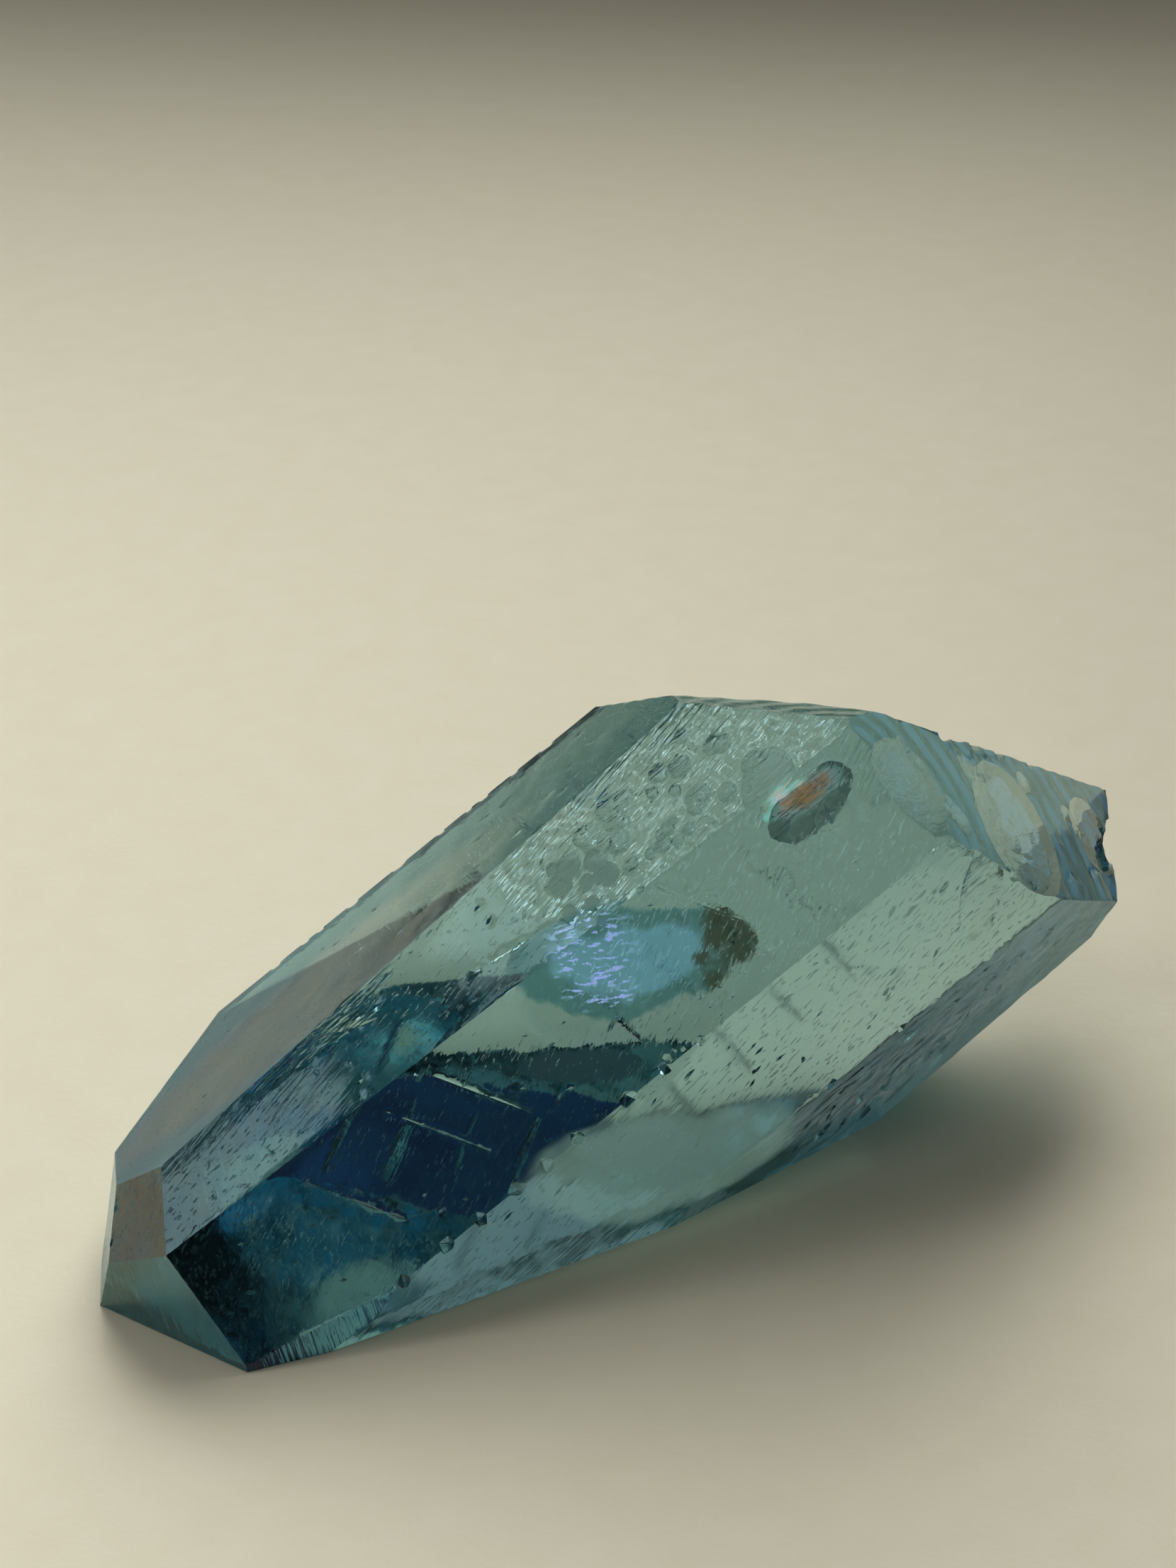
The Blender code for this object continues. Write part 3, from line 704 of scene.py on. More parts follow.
@dataclass
class Crystal:
    """The crystal itself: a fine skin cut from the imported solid.

    The first row of triangles, the step between rows and the gap kept from a face's
    rim are shares of a cell.
    """

    name: str = "aura_quartz_crystal"
    cell_mm: float = 0.21
    weld_mm: float = 0.001
    flat_deg: float = 0.35
    sharp_deg: float = 28.0
    same_plane_mm: float = 0.06
    same_turn_deg: float = 5.0
    ripple_pitch_mm: float = 1.15
    ripple_depth_mm: float = 0.035
    least_rest: float = 1e-4
    same_point_m: float = 1e-9
    row_step: float = 0.866
    first_row: float = 0.43
    rim_gap: float = 0.6
    finish: CoatedQuartz = CoatedQuartz()

    def build(self, solid: bpy.types.Object) -> bpy.types.Object:
        """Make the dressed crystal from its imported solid.

        Args:
            solid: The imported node.

        Returns:
            The finished piece, with its place in its mesh.
        """
        mesh = self.fine_mesh(solid.data)
        shares = self.face_shares(
            read_all(mesh.polygons, "center", 3), read_all(mesh.polygons, "normal", 3))
        ZoneMarks(mesh, shares).store_all()
        material = self.finish.material()
        dressed = link_mesh(self.name, mesh)
        self.apply_tree(dressed, self.relief_tree(material), {
            "Ripple Pitch": self.ripple_pitch_mm * MM,
            "Ripple Depth": self.ripple_depth_mm * MM,
        })
        dressed.data.materials.clear()
        dressed.data.materials.append(material)
        return dressed

    def apply_tree(self, target: bpy.types.Object, tree: Tree, settings: dict) -> None:
        """Run a geometry tree on an object once and keep the plain mesh.

        Args:
            target: The object whose mesh the tree changes.
            tree: The geometry tree.
            settings: Values for its named inputs.
        """
        modifier = target.modifiers.new(tree.name, "NODES")
        modifier.node_group = tree
        for item in tree.interface.items_tree:
            if item.item_type == "SOCKET" and item.name in settings:
                modifier[item.identifier] = settings[item.name]
        bpy.context.view_layer.update()
        evaluated = target.evaluated_get(bpy.context.evaluated_depsgraph_get())
        mesh = bpy.data.meshes.new_from_object(evaluated)
        target.modifiers.remove(modifier)
        target.data = mesh

    def face_shares(self, centres: np.ndarray, normals: np.ndarray) -> dict:
        """Find the zones of each triangle.

        Args:
            centres: The triangles' middles, in metres in the row frame.
            normals: Their outward normals.

        Returns:
            Each zone's share of each triangle.
        """
        own = own_places(centres)
        turned = normals @ np.array(row_turn())
        shares = {zone: np.zeros(len(own)) for zone in Zone}
        free = np.ones(len(own), bool)
        for face in FACES:
            outwards = np.array(face.normal())
            on_plane = np.abs(own @ outwards - face.distance_mm) < self.same_plane_mm
            facing = turned @ outwards > math.cos(math.radians(self.same_turn_deg))
            chosen = free & on_plane & facing
            shares[face.zone][chosen] = 1.0
            free &= ~chosen
        shares[Zone.WORN][free] = 1.0
        for patch in PATCHES:
            covered = shares[face_named(patch.face).zone] + shares[Zone.WORN]
            shares[patch.zone] += patch.weights(centres) * covered
        crack = np.array(face_named("front").point(*CRACK_PLACE_MM, -CRACK_SINK_MM))
        near = np.linalg.norm(centres - crack, axis=1) < CRACK_REACH_MM * MM
        shares[Zone.CRACK][free & near] = 1.0
        return shares

    def relief_tree(self, material: bpy.types.Material) -> Tree:
        """Build the tree that wears the surface inwards.

        Args:
            material: The crystal's material.

        Returns:
            A geometry node tree with named inputs.
        """
        tree = bpy.data.node_groups.new("crystal_relief", "GeometryNodeTree")
        for name, way, kind in (
            ("Geometry", "INPUT", "NodeSocketGeometry"),
            ("Ripple Pitch", "INPUT", "NodeSocketFloat"),
            ("Ripple Depth", "INPUT", "NodeSocketFloat"),
            ("Geometry", "OUTPUT", "NodeSocketGeometry"),
        ):
            tree.interface.new_socket(name, in_out=way, socket_type=kind)
        given = add_node(tree, "NodeGroupInput")
        position = add_node(tree, "GeometryNodeInputPosition").outputs["Position"]
        normal = add_node(tree, "GeometryNodeInputNormal").outputs["Normal"]
        depth = add_node(tree, "ShaderNodeMath", PLUS, {
            0: grains_height(tree, position, COARSE_GRAINS),
            1: self.ripples(tree, position, given),
        })
        off_rest = add_node(tree, "ShaderNodeMath", {"operation": "LESS_THAN"},
                            {0: weight_of(tree, Zone.REST), 1: self.least_rest})
        kept = add_node(tree, "ShaderNodeMath", TIMES,
                        {0: depth.outputs["Value"], 1: off_rest.outputs["Value"]})
        inwards = add_node(tree, "ShaderNodeMath", TIMES, {0: kept.outputs["Value"], 1: -1.0})
        offset = add_node(tree, "ShaderNodeVectorMath", {"operation": "SCALE"},
                          {0: normal, "Scale": inwards.outputs["Value"]})
        moved = add_node(tree, "GeometryNodeSetPosition", inputs={
            "Geometry": given.outputs["Geometry"], "Offset": offset.outputs["Vector"]})
        real = add_node(tree, "GeometryNodeRealizeInstances",
                        inputs={"Geometry": moved.outputs["Geometry"]})
        dressed = add_node(tree, "GeometryNodeSetMaterial", inputs={
            "Geometry": real.outputs["Geometry"], "Material": material})
        add_node(tree, "NodeGroupOutput", inputs={"Geometry": dressed.outputs["Geometry"]})
        return tree

    def ripples(self, tree: Tree, position: Socket, given: Node) -> Socket:
        """Build shell-like rings on the broken faces, round the point of the blow.

        Args:
            tree: The geometry tree.
            position: The place on the crystal, in metres.
            given: The node of the tree's named inputs.

        Returns:
            The rings' depth in metres.
        """
        blow = face_named("break_main").point(0.0, 0.0)
        gap = add_node(tree, "ShaderNodeVectorMath", {"operation": "DISTANCE"},
                       {0: position, 1: blow})
        turns = add_node(tree, "ShaderNodeMath", OVER,
                         {0: gap.outputs["Value"], 1: given.outputs["Ripple Pitch"]})
        angle = add_node(tree, "ShaderNodeMath", TIMES,
                         {0: turns.outputs["Value"], 1: math.tau})
        wave = add_node(tree, "ShaderNodeMath", {"operation": "SINE"},
                        {0: angle.outputs["Value"]})
        level = add_node(tree, "ShaderNodeMath", TIMES_PLUS,
                         {0: wave.outputs["Value"], 1: 0.5, 2: 0.5})
        deep = add_node(tree, "ShaderNodeMath", TIMES,
                        {0: level.outputs["Value"], 1: given.outputs["Ripple Depth"]})
        rings = add_node(tree, "ShaderNodeMath", TIMES,
                         {0: deep.outputs["Value"], 1: weight_of(tree, Zone.BROKEN)})
        return rings.outputs["Value"]

    def fine_mesh(self, source: bpy.types.Mesh) -> bpy.types.Mesh:
        """Rebuild the solid's faces as even, fine triangles.

        Args:
            source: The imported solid's mesh.

        Returns:
            A new mesh of the same shape.
        """
        bm = bmesh.new()
        bm.from_mesh(source)
        bmesh.ops.remove_doubles(bm, verts=bm.verts[:], dist=self.weld_mm * MM)
        bmesh.ops.dissolve_limit(
            bm,
            angle_limit=math.radians(self.flat_deg),
            verts=bm.verts[:],
            edges=bm.edges[:],
        )
        self.split_long_edges(bm)
        fine = bmesh.new()
        copies = {vert: fine.verts.new(vert.co) for vert in bm.verts}
        for face in bm.faces:
            self.fill_face(fine, face, copies)
        bm.free()
        for face in fine.faces:
            face.smooth = True
        mesh = bpy.data.meshes.new(self.name)
        fine.to_mesh(mesh)
        fine.free()
        mesh.set_sharp_from_angle(angle=math.radians(self.sharp_deg))
        return mesh

    def split_long_edges(self, bm: bmesh.types.BMesh) -> None:
        """Split each edge into stretches about a cell long.

        Args:
            bm: The mesh whose edges are split.
        """
        cell = self.cell_mm * MM
        by_cuts = {}
        for edge in bm.edges:
            cuts = round(edge.calc_length() / cell) - 1
            if cuts > 0:
                by_cuts.setdefault(cuts, []).append(edge)
        for cuts, edges in by_cuts.items():
            bmesh.ops.bisect_edges(bm, edges=edges, cuts=cuts)

    def fill_face(
        self,
        fine: bmesh.types.BMesh,
        face: bmesh.types.BMFace,
        copies: dict,
    ) -> None:
        """Fill one flat face with even triangles.

        Args:
            fine: The mesh that gets the triangles.
            face: The flat face to fill.
            copies: The fine mesh's vertex for each vertex of the face's mesh.
        """
        corners = [copies[vert] for vert in face.verts]
        count = len(corners)
        if count == 3:
            fine.faces.new(corners)
            return
        outwards = face.normal.normalized()
        across = outwards.orthogonal().normalized()
        up = outwards.cross(across)
        origin = corners[0].co.copy()
        gaps = [corner.co - origin for corner in corners]
        rim = np.array([(gap.dot(across), gap.dot(up)) for gap in gaps])
        flat = [Vector(point) for point in np.vstack((rim, self.inner_points(rim)))]
        points, _, triangles, origins, _, _ = delaunay_2d_cdt(
            flat, [], [list(range(count))], 1, self.same_point_m)
        verts = []
        for point, sources in zip(points, origins):
            known = [source for source in sources if source < count]
            if known:
                verts.append(corners[known[0]])
            else:
                verts.append(fine.verts.new(origin + across * point.x + up * point.y))
        for triangle in triangles:
            chosen = [verts[at] for at in triangle]
            if len(set(chosen)) == 3 and fine.faces.get(chosen) is None:
                fine.faces.new(chosen)

    def inner_points(self, rim: np.ndarray) -> np.ndarray:
        """Points of an even triangular grid inside an outline.

        Args:
            rim: The outline's corners.

        Returns:
            The grid points that are well inside it.
        """
        cell = self.cell_mm * MM
        low = rim.min(axis=0)
        high = rim.max(axis=0)
        rows = np.arange(low[1] + self.first_row * cell, high[1], self.row_step * cell)
        columns = np.arange(low[0], high[0] + cell, cell)
        if not len(rows) or not len(columns):
            return np.zeros((0, 2))
        x, y = np.meshgrid(columns, rows)
        x = x + 0.5 * cell * (np.arange(len(rows)) % 2)[:, None]
        points = np.stack((x.ravel(), y.ravel()), axis=1)
        inside = np.zeros(len(points), bool)
        near = np.full(len(points), np.inf)
        for start, end in zip(rim, np.roll(rim, -1, axis=0)):
            crosses = (start[1] > points[:, 1]) != (end[1] > points[:, 1])
            rise = end[1] - start[1]
            if rise:
                reach = start[0] + (points[:, 1] - start[1]) * (end[0] - start[0]) / rise
                inside ^= crosses & (points[:, 0] < reach)
            gap = points - start
            near = np.minimum(near, (gap * gap).sum(axis=1))
        return points[inside & (near > (self.rim_gap * cell) ** 2)]


# The sheets inside the crystal store their core, 0 at the rim and 1 in the middle, their lean,
# -1 at the near end and 1 at the far end, and their spread, the place on them in millimetres.
# Almost no lamp's light reaches them through the crystal, so a share of each glows faintly:
# painted light that stands in for the light it would scatter. A pair of levels says where a
# smooth step begins and ends.


def begin_sheet(name: str, cloud_mm: float, detail: float) -> tuple:
    """Begin the material of a sheet inside the crystal.

    Args:
        name: The material's name.
        cloud_mm: How large its clouds are.
        detail: How finely they break up.

    Returns:
        The material, and the sockets of the core and of the clouds.
    """
    material = empty_material(name)
    tree = material.node_tree
    core = add_node(tree, "ShaderNodeAttribute", {"attribute_name": "core"})
    position = add_node(tree, "ShaderNodeTexCoord")
    cloud = add_node(tree, "ShaderNodeTexNoise", inputs={
        "Vector": position.outputs["Object"],
        "Scale": 1.0 / (cloud_mm * MM),
        "Detail": detail,
    })
    return material, core.outputs["Fac"], cloud.outputs[0]


def end_sheet(tree: Tree, share: Socket, first: Node, second: Node) -> None:
    """End a sheet's material with a mix of two shaders.

    Args:
        tree: The material's tree.
        share: The second shader's share.
        first: The shader that shows where the share is 0.
        second: The shader that shows where it is 1.
    """
    both = add_node(tree, "ShaderNodeMixShader", inputs={
        0: share, 1: first.outputs[0], 2: second.outputs[0]})
    add_node(tree, "ShaderNodeOutputMaterial", inputs={"Surface": both.outputs[0]})


@dataclass(frozen=True)
class HealedVeil:
    """A crack that quartz has healed, which left a sheet of flat, fluid-filled pores."""

    edge_tint: str = "#cfe5ea"
    core_tint: str = "#dcf2ff"
    smoke_tint: str = "#bdbcb2"
    painted_glow_colour: str = "#aae7ff"
    spark_tint: str = "#f4eeff"
    painted_glint_colour: str = "#a9a4ff"
    painted_glow_strength: float = 1.5
    painted_glow_share: float = 0.05
    painted_glint_share: float = 0.55
    spark_share: float = 0.85
    spark_mm: tuple = (0.55, 0.17, 0.17)
    spark_detail: float = 4.0
    fleck_levels: tuple = (0.53, 0.62)
    near_levels: tuple = (-0.75, -0.45)
    far_levels: tuple = (0.10, -0.25)
    inner_levels: tuple = (0.05, 0.30)
    cloud_mm: float = 1.3
    cloud_detail: float = 3.0
    cloud_share: float = 0.5
    body_levels: tuple = (0.24, 0.36)
    heart_levels: tuple = (0.55, 0.75)
    smoke_cloud_share: float = 1.2
    smoke_levels: tuple = (1.02, 1.32)

    def material(self) -> bpy.types.Material:
        """Build the veil's material.

        Returns:
            A see-through tint that fades at the rim, with violet flecks of painted glint and a
            faint painted glow.
        """
        # The pores make a pale teal cloud with a ragged rim. A painted violet glint, an
        # emission, shows over the near third where level pores would flash. The heart has a
        # faint painted glow, and the far end is tinted brown.
        material, core, cloud = begin_sheet("healed_veil", self.cloud_mm, self.cloud_detail)
        tree = material.node_tree
        lean = add_node(tree, "ShaderNodeAttribute", {"attribute_name": "lean"}).outputs["Fac"]
        clouded, smoky = (
            add_node(tree, "ShaderNodeMath", TIMES_PLUS, {0: cloud, 1: share, 2: base})
            for share, base in ((self.cloud_share, core), (self.smoke_cloud_share, lean))
        )
        heart, body, smoke = (
            add_node(tree, "ShaderNodeMapRange", SMOOTH, {
                "Value": value.outputs["Value"], "From Min": low, "From Max": high,
            }).outputs["Result"]
            for value, (low, high) in (
                (clouded, self.heart_levels),
                (clouded, self.body_levels),
                (smoky, self.smoke_levels),
            )
        )
        painted_glints = self.painted_glints(tree, lean, core)
        painted_glow_share = self.painted_heart_glow(tree, heart, smoke)
        inner = add_node(tree, "ShaderNodeMix", COLOUR_MIX, {
            SHARE: heart, FIRST: linear(self.edge_tint), SECOND: linear(self.core_tint)})
        smoked = add_node(tree, "ShaderNodeMix", COLOUR_MIX, {
            SHARE: smoke, FIRST: inner.outputs[MIXED], SECOND: linear(self.smoke_tint)})
        shown = add_node(tree, "ShaderNodeMix", COLOUR_MIX, {
            SHARE: body, FIRST: CLEAR, SECOND: smoked.outputs[MIXED]})
        tinted, painted_light_colour, share = (
            add_node(tree, "ShaderNodeMix", COLOUR_MIX,
                     {SHARE: painted_glints, FIRST: plain, SECOND: sparkling}).outputs[MIXED]
            for plain, sparkling in (
                (shown.outputs[MIXED], linear(self.spark_tint)),
                (linear(self.painted_glow_colour), linear(self.painted_glint_colour)),
                (painted_glow_share, (self.painted_glint_share,) * 3 + (1.0,)),
            )
        )
        clear = add_node(tree, "ShaderNodeBsdfTransparent", inputs={"Color": tinted})
        # The emission is painted light: a faint glow in the heart, and painted violet glints
        # on the flecks.
        painted_glow = add_node(tree, "ShaderNodeEmission", inputs={
            "Color": painted_light_colour, "Strength": self.painted_glow_strength})
        end_sheet(tree, share, clear, painted_glow)
        return material

    def painted_heart_glow(self, tree: Tree, heart: Socket, smoke: Socket) -> Socket:
        """Build the share of the veil's heart that glows as painted light, none of it where it
        is smoky.

        Args:
            tree: The material's tree.
            heart: How far a place belongs to the heart.
            smoke: How far it is smoky.

        Returns:
            The share from 0 to 1.
        """
        bright = add_node(tree, "ShaderNodeMath", TIMES, {0: heart, 1: self.painted_glow_share})
        clean = add_node(tree, "ShaderNodeMath", MINUS, {0: 1.0, 1: smoke})
        left = add_node(tree, "ShaderNodeMath", TIMES,
                        {0: bright.outputs["Value"], 1: clean.outputs["Value"]})
        return left.outputs["Value"]

    def painted_glints(self, tree: Tree, lean: Socket, core: Socket) -> Socket:
        """Build where the painted glint of flat pores shows: a drift across the near third.

        Args:
            tree: The material's tree.
            lean: The place between the veil's ends.
            core: The place between its rim and its middle.

        Returns:
            The share from 0 to 1.
        """
        place = add_node(tree, "ShaderNodeAttribute", {"attribute_name": "spread_mm"})
        shrunk = add_node(tree, "ShaderNodeVectorMath", OVER,
                          {0: place.outputs["Vector"], 1: self.spark_mm})
        noise = add_node(tree, "ShaderNodeTexNoise", inputs={
            "Vector": shrunk.outputs["Vector"], "Scale": 1.0, "Detail": self.spark_detail})
        share = self.spark_share
        for value, (low, high) in (
            (noise.outputs[0], self.fleck_levels),
            (lean, self.near_levels),
            (lean, self.far_levels),
            (core, self.inner_levels),
        ):
            step = add_node(tree, "ShaderNodeMapRange", SMOOTH, {
                "Value": value, "From Min": low, "From Max": high})
            times = add_node(tree, "ShaderNodeMath", TIMES,
                             {0: step.outputs["Result"], 1: share})
            share = times.outputs["Value"]
        return share


@dataclass(frozen=True)
class RainbowFilm:
    """Air a few light waves thick, in a crack that a knock has opened."""

    colours: tuple = ("#8fa4ff", "#ffbade", "#fff3bc", "#a0f2e0", "#f2faff", "#ffcf9c")
    show: float = 0.9
    painted_shine_share: float = 0.45
    band_mm: float = 0.6
    band_detail: float = 4.0
    show_levels: tuple = (0.42, 0.72)

    def material(self) -> bpy.types.Material:
        """Build the film's material.

        Returns:
            A half-clear sheet with bands of interference colours along it, painted as a tint
            and a faint glow.
        """
        # The air's thickness changes along the crack, so its interference colours follow one
        # another in wavy bands, and it is clear where it closes. The colours are a painted
        # reflection: a coloured tint, and an emission that glows in them.
        material, core, waves = begin_sheet("rainbow_crack", self.band_mm, self.band_detail)
        tree = material.node_tree
        wedge = add_node(tree, "ShaderNodeMath", PLUS, {0: core, 1: waves})
        bands = add_node(tree, "ShaderNodeValToRGB", inputs={"Fac": wedge.outputs["Value"]})
        ramp = bands.color_ramp
        last = len(self.colours) - 1
        for at in range(1, last):
            ramp.elements.new(at / last)
        for element, colour in zip(ramp.elements, self.colours):
            element.color = linear(colour)
        colour = {"Color": bands.outputs["Color"]}
        clear = add_node(tree, "ShaderNodeBsdfTransparent")
        tint = add_node(tree, "ShaderNodeBsdfTransparent", inputs=colour)
        # Painted reflection: this emission glows in the band colours.
        painted_gleam = add_node(tree, "ShaderNodeEmission", inputs=colour)
        painted_shine = add_node(tree, "ShaderNodeMixShader", inputs={
            0: self.painted_shine_share, 1: tint.outputs[0], 2: painted_gleam.outputs[0]})
        shown = add_node(tree, "ShaderNodeMapRange", SMOOTH, {
            "Value": wedge.outputs["Value"],
            "From Min": self.show_levels[0],
            "From Max": self.show_levels[1],
            "To Max": self.show,
        })
        end_sheet(tree, shown.outputs["Result"], clear, painted_shine)
        return material


@dataclass(frozen=True)
class PaintedLightSheet:
    """A sheet of painted light under the lower front face, which glows there like a faint
    milky haze.
    """

    colour: str = "#86a99c"
    strength: float = 1.0
    brightest_share: float = 0.24
    glow_levels: tuple = (0.25, 0.62)
    rim_levels: tuple = (0.0, 0.12)
    cloud_mm: float = 2.2
    cloud_detail: float = 3.0
    cloud_share: float = 0.7

    def material(self) -> bpy.types.Material:
        """Build the painted light sheet's material.

        Returns:
            A mostly clear sheet with a faint, cloudy glow of painted light.
        """
        # The glow is painted light that brightens the lower front face, in soft clouds without
        # an edge.
        material, core, cloud = begin_sheet("painted_light_sheet", self.cloud_mm, self.cloud_detail)
        tree = material.node_tree
        rim = add_node(tree, "ShaderNodeMapRange", SMOOTH, {
            "Value": core, "From Min": self.rim_levels[0], "From Max": self.rim_levels[1]})
        broken = add_node(tree, "ShaderNodeMath", TIMES_PLUS,
                          {0: cloud, 1: self.cloud_share, 2: core})
        glow_amount = add_node(tree, "ShaderNodeMapRange", SMOOTH, {
            "Value": broken.outputs["Value"],
            "From Min": self.glow_levels[0],
            "From Max": self.glow_levels[1],
            "To Max": self.brightest_share,
        })
        share = add_node(tree, "ShaderNodeMath", TIMES,
                         {0: glow_amount.outputs["Result"], 1: rim.outputs["Result"]})
        clear = add_node(tree, "ShaderNodeBsdfTransparent")
        painted_glow = add_node(tree, "ShaderNodeEmission", inputs={
            "Color": linear(self.colour), "Strength": self.strength})
        end_sheet(tree, share.outputs["Value"], clear, painted_glow)
        return material


@dataclass
class Veil:
    """A thin closed sheet inside the crystal, under one of its faces."""

    name: str
    face: str
    along_mm: float
    across_mm: float
    sink_mm: float
    reach_mm: tuple
    turn_deg: float
    finish: Union[HealedVeil, RainbowFilm, PaintedLightSheet]
    dip_deg: float = 0.0
    thick_mm: float = 0.05
    bow_mm: float = 0.25
    ragged: float = 0.10
    rim_waves: tuple = ((1.0, 3.0, 0.7), (0.5, 7.0, 2.1), (0.3, 17.0, 0.0))
    rings: int = 14
    spokes: int = 72

    def build(self) -> bpy.types.Object:
        """Build the veil, whose two sides share their rim.

        Returns:
            The finished piece, with its place in its mesh.
        """
        points, cores, leans = self.sheet()
        count = len(points)
        inner = count - self.spokes
        axes = self.axes()
        middle = face_named(self.face).point(self.along_mm, self.across_mm, -self.sink_mm)
        places = []
        for lift, reach in ((0.5, count), (-0.5, inner)):
            for (x, y, z), core in zip(points[:reach], cores[:reach]):
                raised = z + lift * self.thick_mm * math.sqrt(max(core, 0.0))
                places.append(middle + MM * (axes[0] * x + axes[1] * y + axes[2] * raised))
        mesh = bpy.data.meshes.new(self.name)
        mesh.from_pydata([tuple(place) for place in places], [], self.faces(count))
        for name, values in (("core", cores), ("lean", leans), ("spread_mm", points)):
            store(mesh, name, "POINT", np.array(values + values[:inner]))
        for polygon in mesh.polygons:
            polygon.use_smooth = True
        mesh.materials.append(self.finish.material())
        return link_mesh(self.name, mesh)

    def axes(self) -> list:
        """The veil's own directions.

        Returns:
            Its long, short and outward directions in the row frame.
        """
        long_way, short_way, outwards = face_named(self.face).axes(self.turn_deg)
        dip = Matrix.Rotation(math.radians(self.dip_deg), 3, long_way)
        return [row_turn() @ way for way in (long_way, dip @ short_way, dip @ outwards)]

    def sheet(self) -> tuple:
        """Lay out the sheet's middle surface, ring by ring from its middle.

        Returns:
            The points in millimetres, and the core and the lean of each.
        """
        points = [(0.0, 0.0, self.bow_mm)]
        cores = [1.0]
        leans = [0.0]
        for ring in range(1, self.rings + 1):
            share = ring / self.rings
            for spoke in range(self.spokes):
                angle = math.tau * spoke / self.spokes
                wobble = 1.0 + self.ragged * sum(
                    height * math.sin(waves * angle + start)
                    for height, waves, start in self.rim_waves
                )
                x = math.cos(angle) * share
                y = math.sin(angle) * share * wobble
                points.append((x * self.reach_mm[0], y * self.reach_mm[1],
                               self.bow_mm * (1.0 - share * share)))
                cores.append(1.0 - share)
                leans.append(x)
        return points, cores, leans

    def faces(self, count: int) -> list:
        """List the closed sheet's faces.

        Args:
            count: How many points the upper side has.

        Returns:
            The faces of its upper and lower sides, which share their rim.
        """
        upper = []
        for spoke in range(self.spokes):
            after = (spoke + 1) % self.spokes
            upper.append((0, 1 + spoke, 1 + after))
            for ring in range(self.rings - 1):
                inner = 1 + ring * self.spokes
                outer = inner + self.spokes
                upper.append((inner + spoke, outer + spoke, outer + after, inner + after))
        rim = count - self.spokes
        lower = [
            tuple(at + count if at < rim else at for at in reversed(face))
            for face in upper
        ]
        return upper + lower


VEILS = (
    Veil("healed_veil", "front", -1.0, 0.9, 1.5, (5.3, 2.25), -30.7, HealedVeil()),
    Veil("rainbow_crack", "front", 8.8, 1.6, 0.75, (2.1, 0.75), -8.0, RainbowFilm(), 8.0,
         bow_mm=0.12),
    # This sheet is painted light: it glows faintly to brighten the lower front face.
    Veil("painted_light_sheet", "lower_front", -4.7, -2.5, 1.2, (7.2, 2.5), -33.0, PaintedLightSheet()),
)


@dataclass(frozen=True)
class PaperFloor:
    """Heavy uncoated paper, pressed and dried between felts."""

    colour: str = "#f1edd7"
    fibre_colour: str = "#eae5cc"
    roughness: float = 0.85
    specular: float = 0.2
    fibre_mm: float = 2.4
    fibre_detail: float = 4.0
    tooth_mm: float = 0.45
    tooth_detail: float = 2.0
    tooth_depth_mm: float = 0.012

    def material(self) -> bpy.types.Material:
        """Build the floor's material.

        Returns:
            A matt cream sheet, clouded by its fibres and rough to the touch.
        """
        # The paper is matt and warm white, with soft clouds where its fibres lie
        # closer. Its tooth is drawn about twice as coarse as it is, to show.
        material = empty_material("cream_paper")
        tree = material.node_tree
        position = add_node(tree, "ShaderNodeTexCoord").outputs["Object"]
        fibres, tooth = (
            add_node(tree, "ShaderNodeTexNoise", inputs={
                "Vector": position, "Scale": 1.0 / (size_mm * MM), "Detail": detail})
            for size_mm, detail in (
                (self.fibre_mm, self.fibre_detail), (self.tooth_mm, self.tooth_detail))
        )
        clouded = add_node(tree, "ShaderNodeMix", COLOUR_MIX, {
            SHARE: fibres.outputs[0],
            FIRST: linear(self.colour),
            SECOND: linear(self.fibre_colour),
        })
        bump = add_node(tree, "ShaderNodeBump", inputs={
            "Strength": 1.0,
            "Distance": self.tooth_depth_mm * MM,
            "Height": tooth.outputs[0],
        })
        shader = add_node(tree, "ShaderNodeBsdfPrincipled", inputs={
            "Base Color": clouded.outputs[MIXED],
            "Roughness": self.roughness,
            "Specular IOR Level": self.specular,
            "Normal": bump.outputs["Normal"],
        })
        add_node(tree, "ShaderNodeOutputMaterial", inputs={"Surface": shader.outputs["BSDF"]})
        return material


@dataclass(frozen=True)
class SoftLamp:
    """A rectangular lamp, placed by its direction from the crystal as the camera sees it.

    The azimuth is 0 to the right and 90 straight away from the camera.
    """

    name: str
    azimuth_deg: float
    height_deg: float
    size_mm: tuple
    radiance: float
    colour: str = "#fffdfa"
    distance_mm: float = 400.0
    spread_deg: float = 180.0
    aim_mm: tuple = (0.0, 0.0, 8.0)
    in_crystal: bool = True
    on_floor: bool = False

    def place_mm(self) -> tuple:
        """Work out the lamp's place.

        Returns:
            How far it is to the right, away and up.
        """
        azimuth = math.radians(self.azimuth_deg)
        height = math.radians(self.height_deg)
        level = self.distance_mm * math.cos(height)
        return (
            level * math.cos(azimuth),
            level * math.sin(azimuth),
            self.distance_mm * math.sin(height),
        )


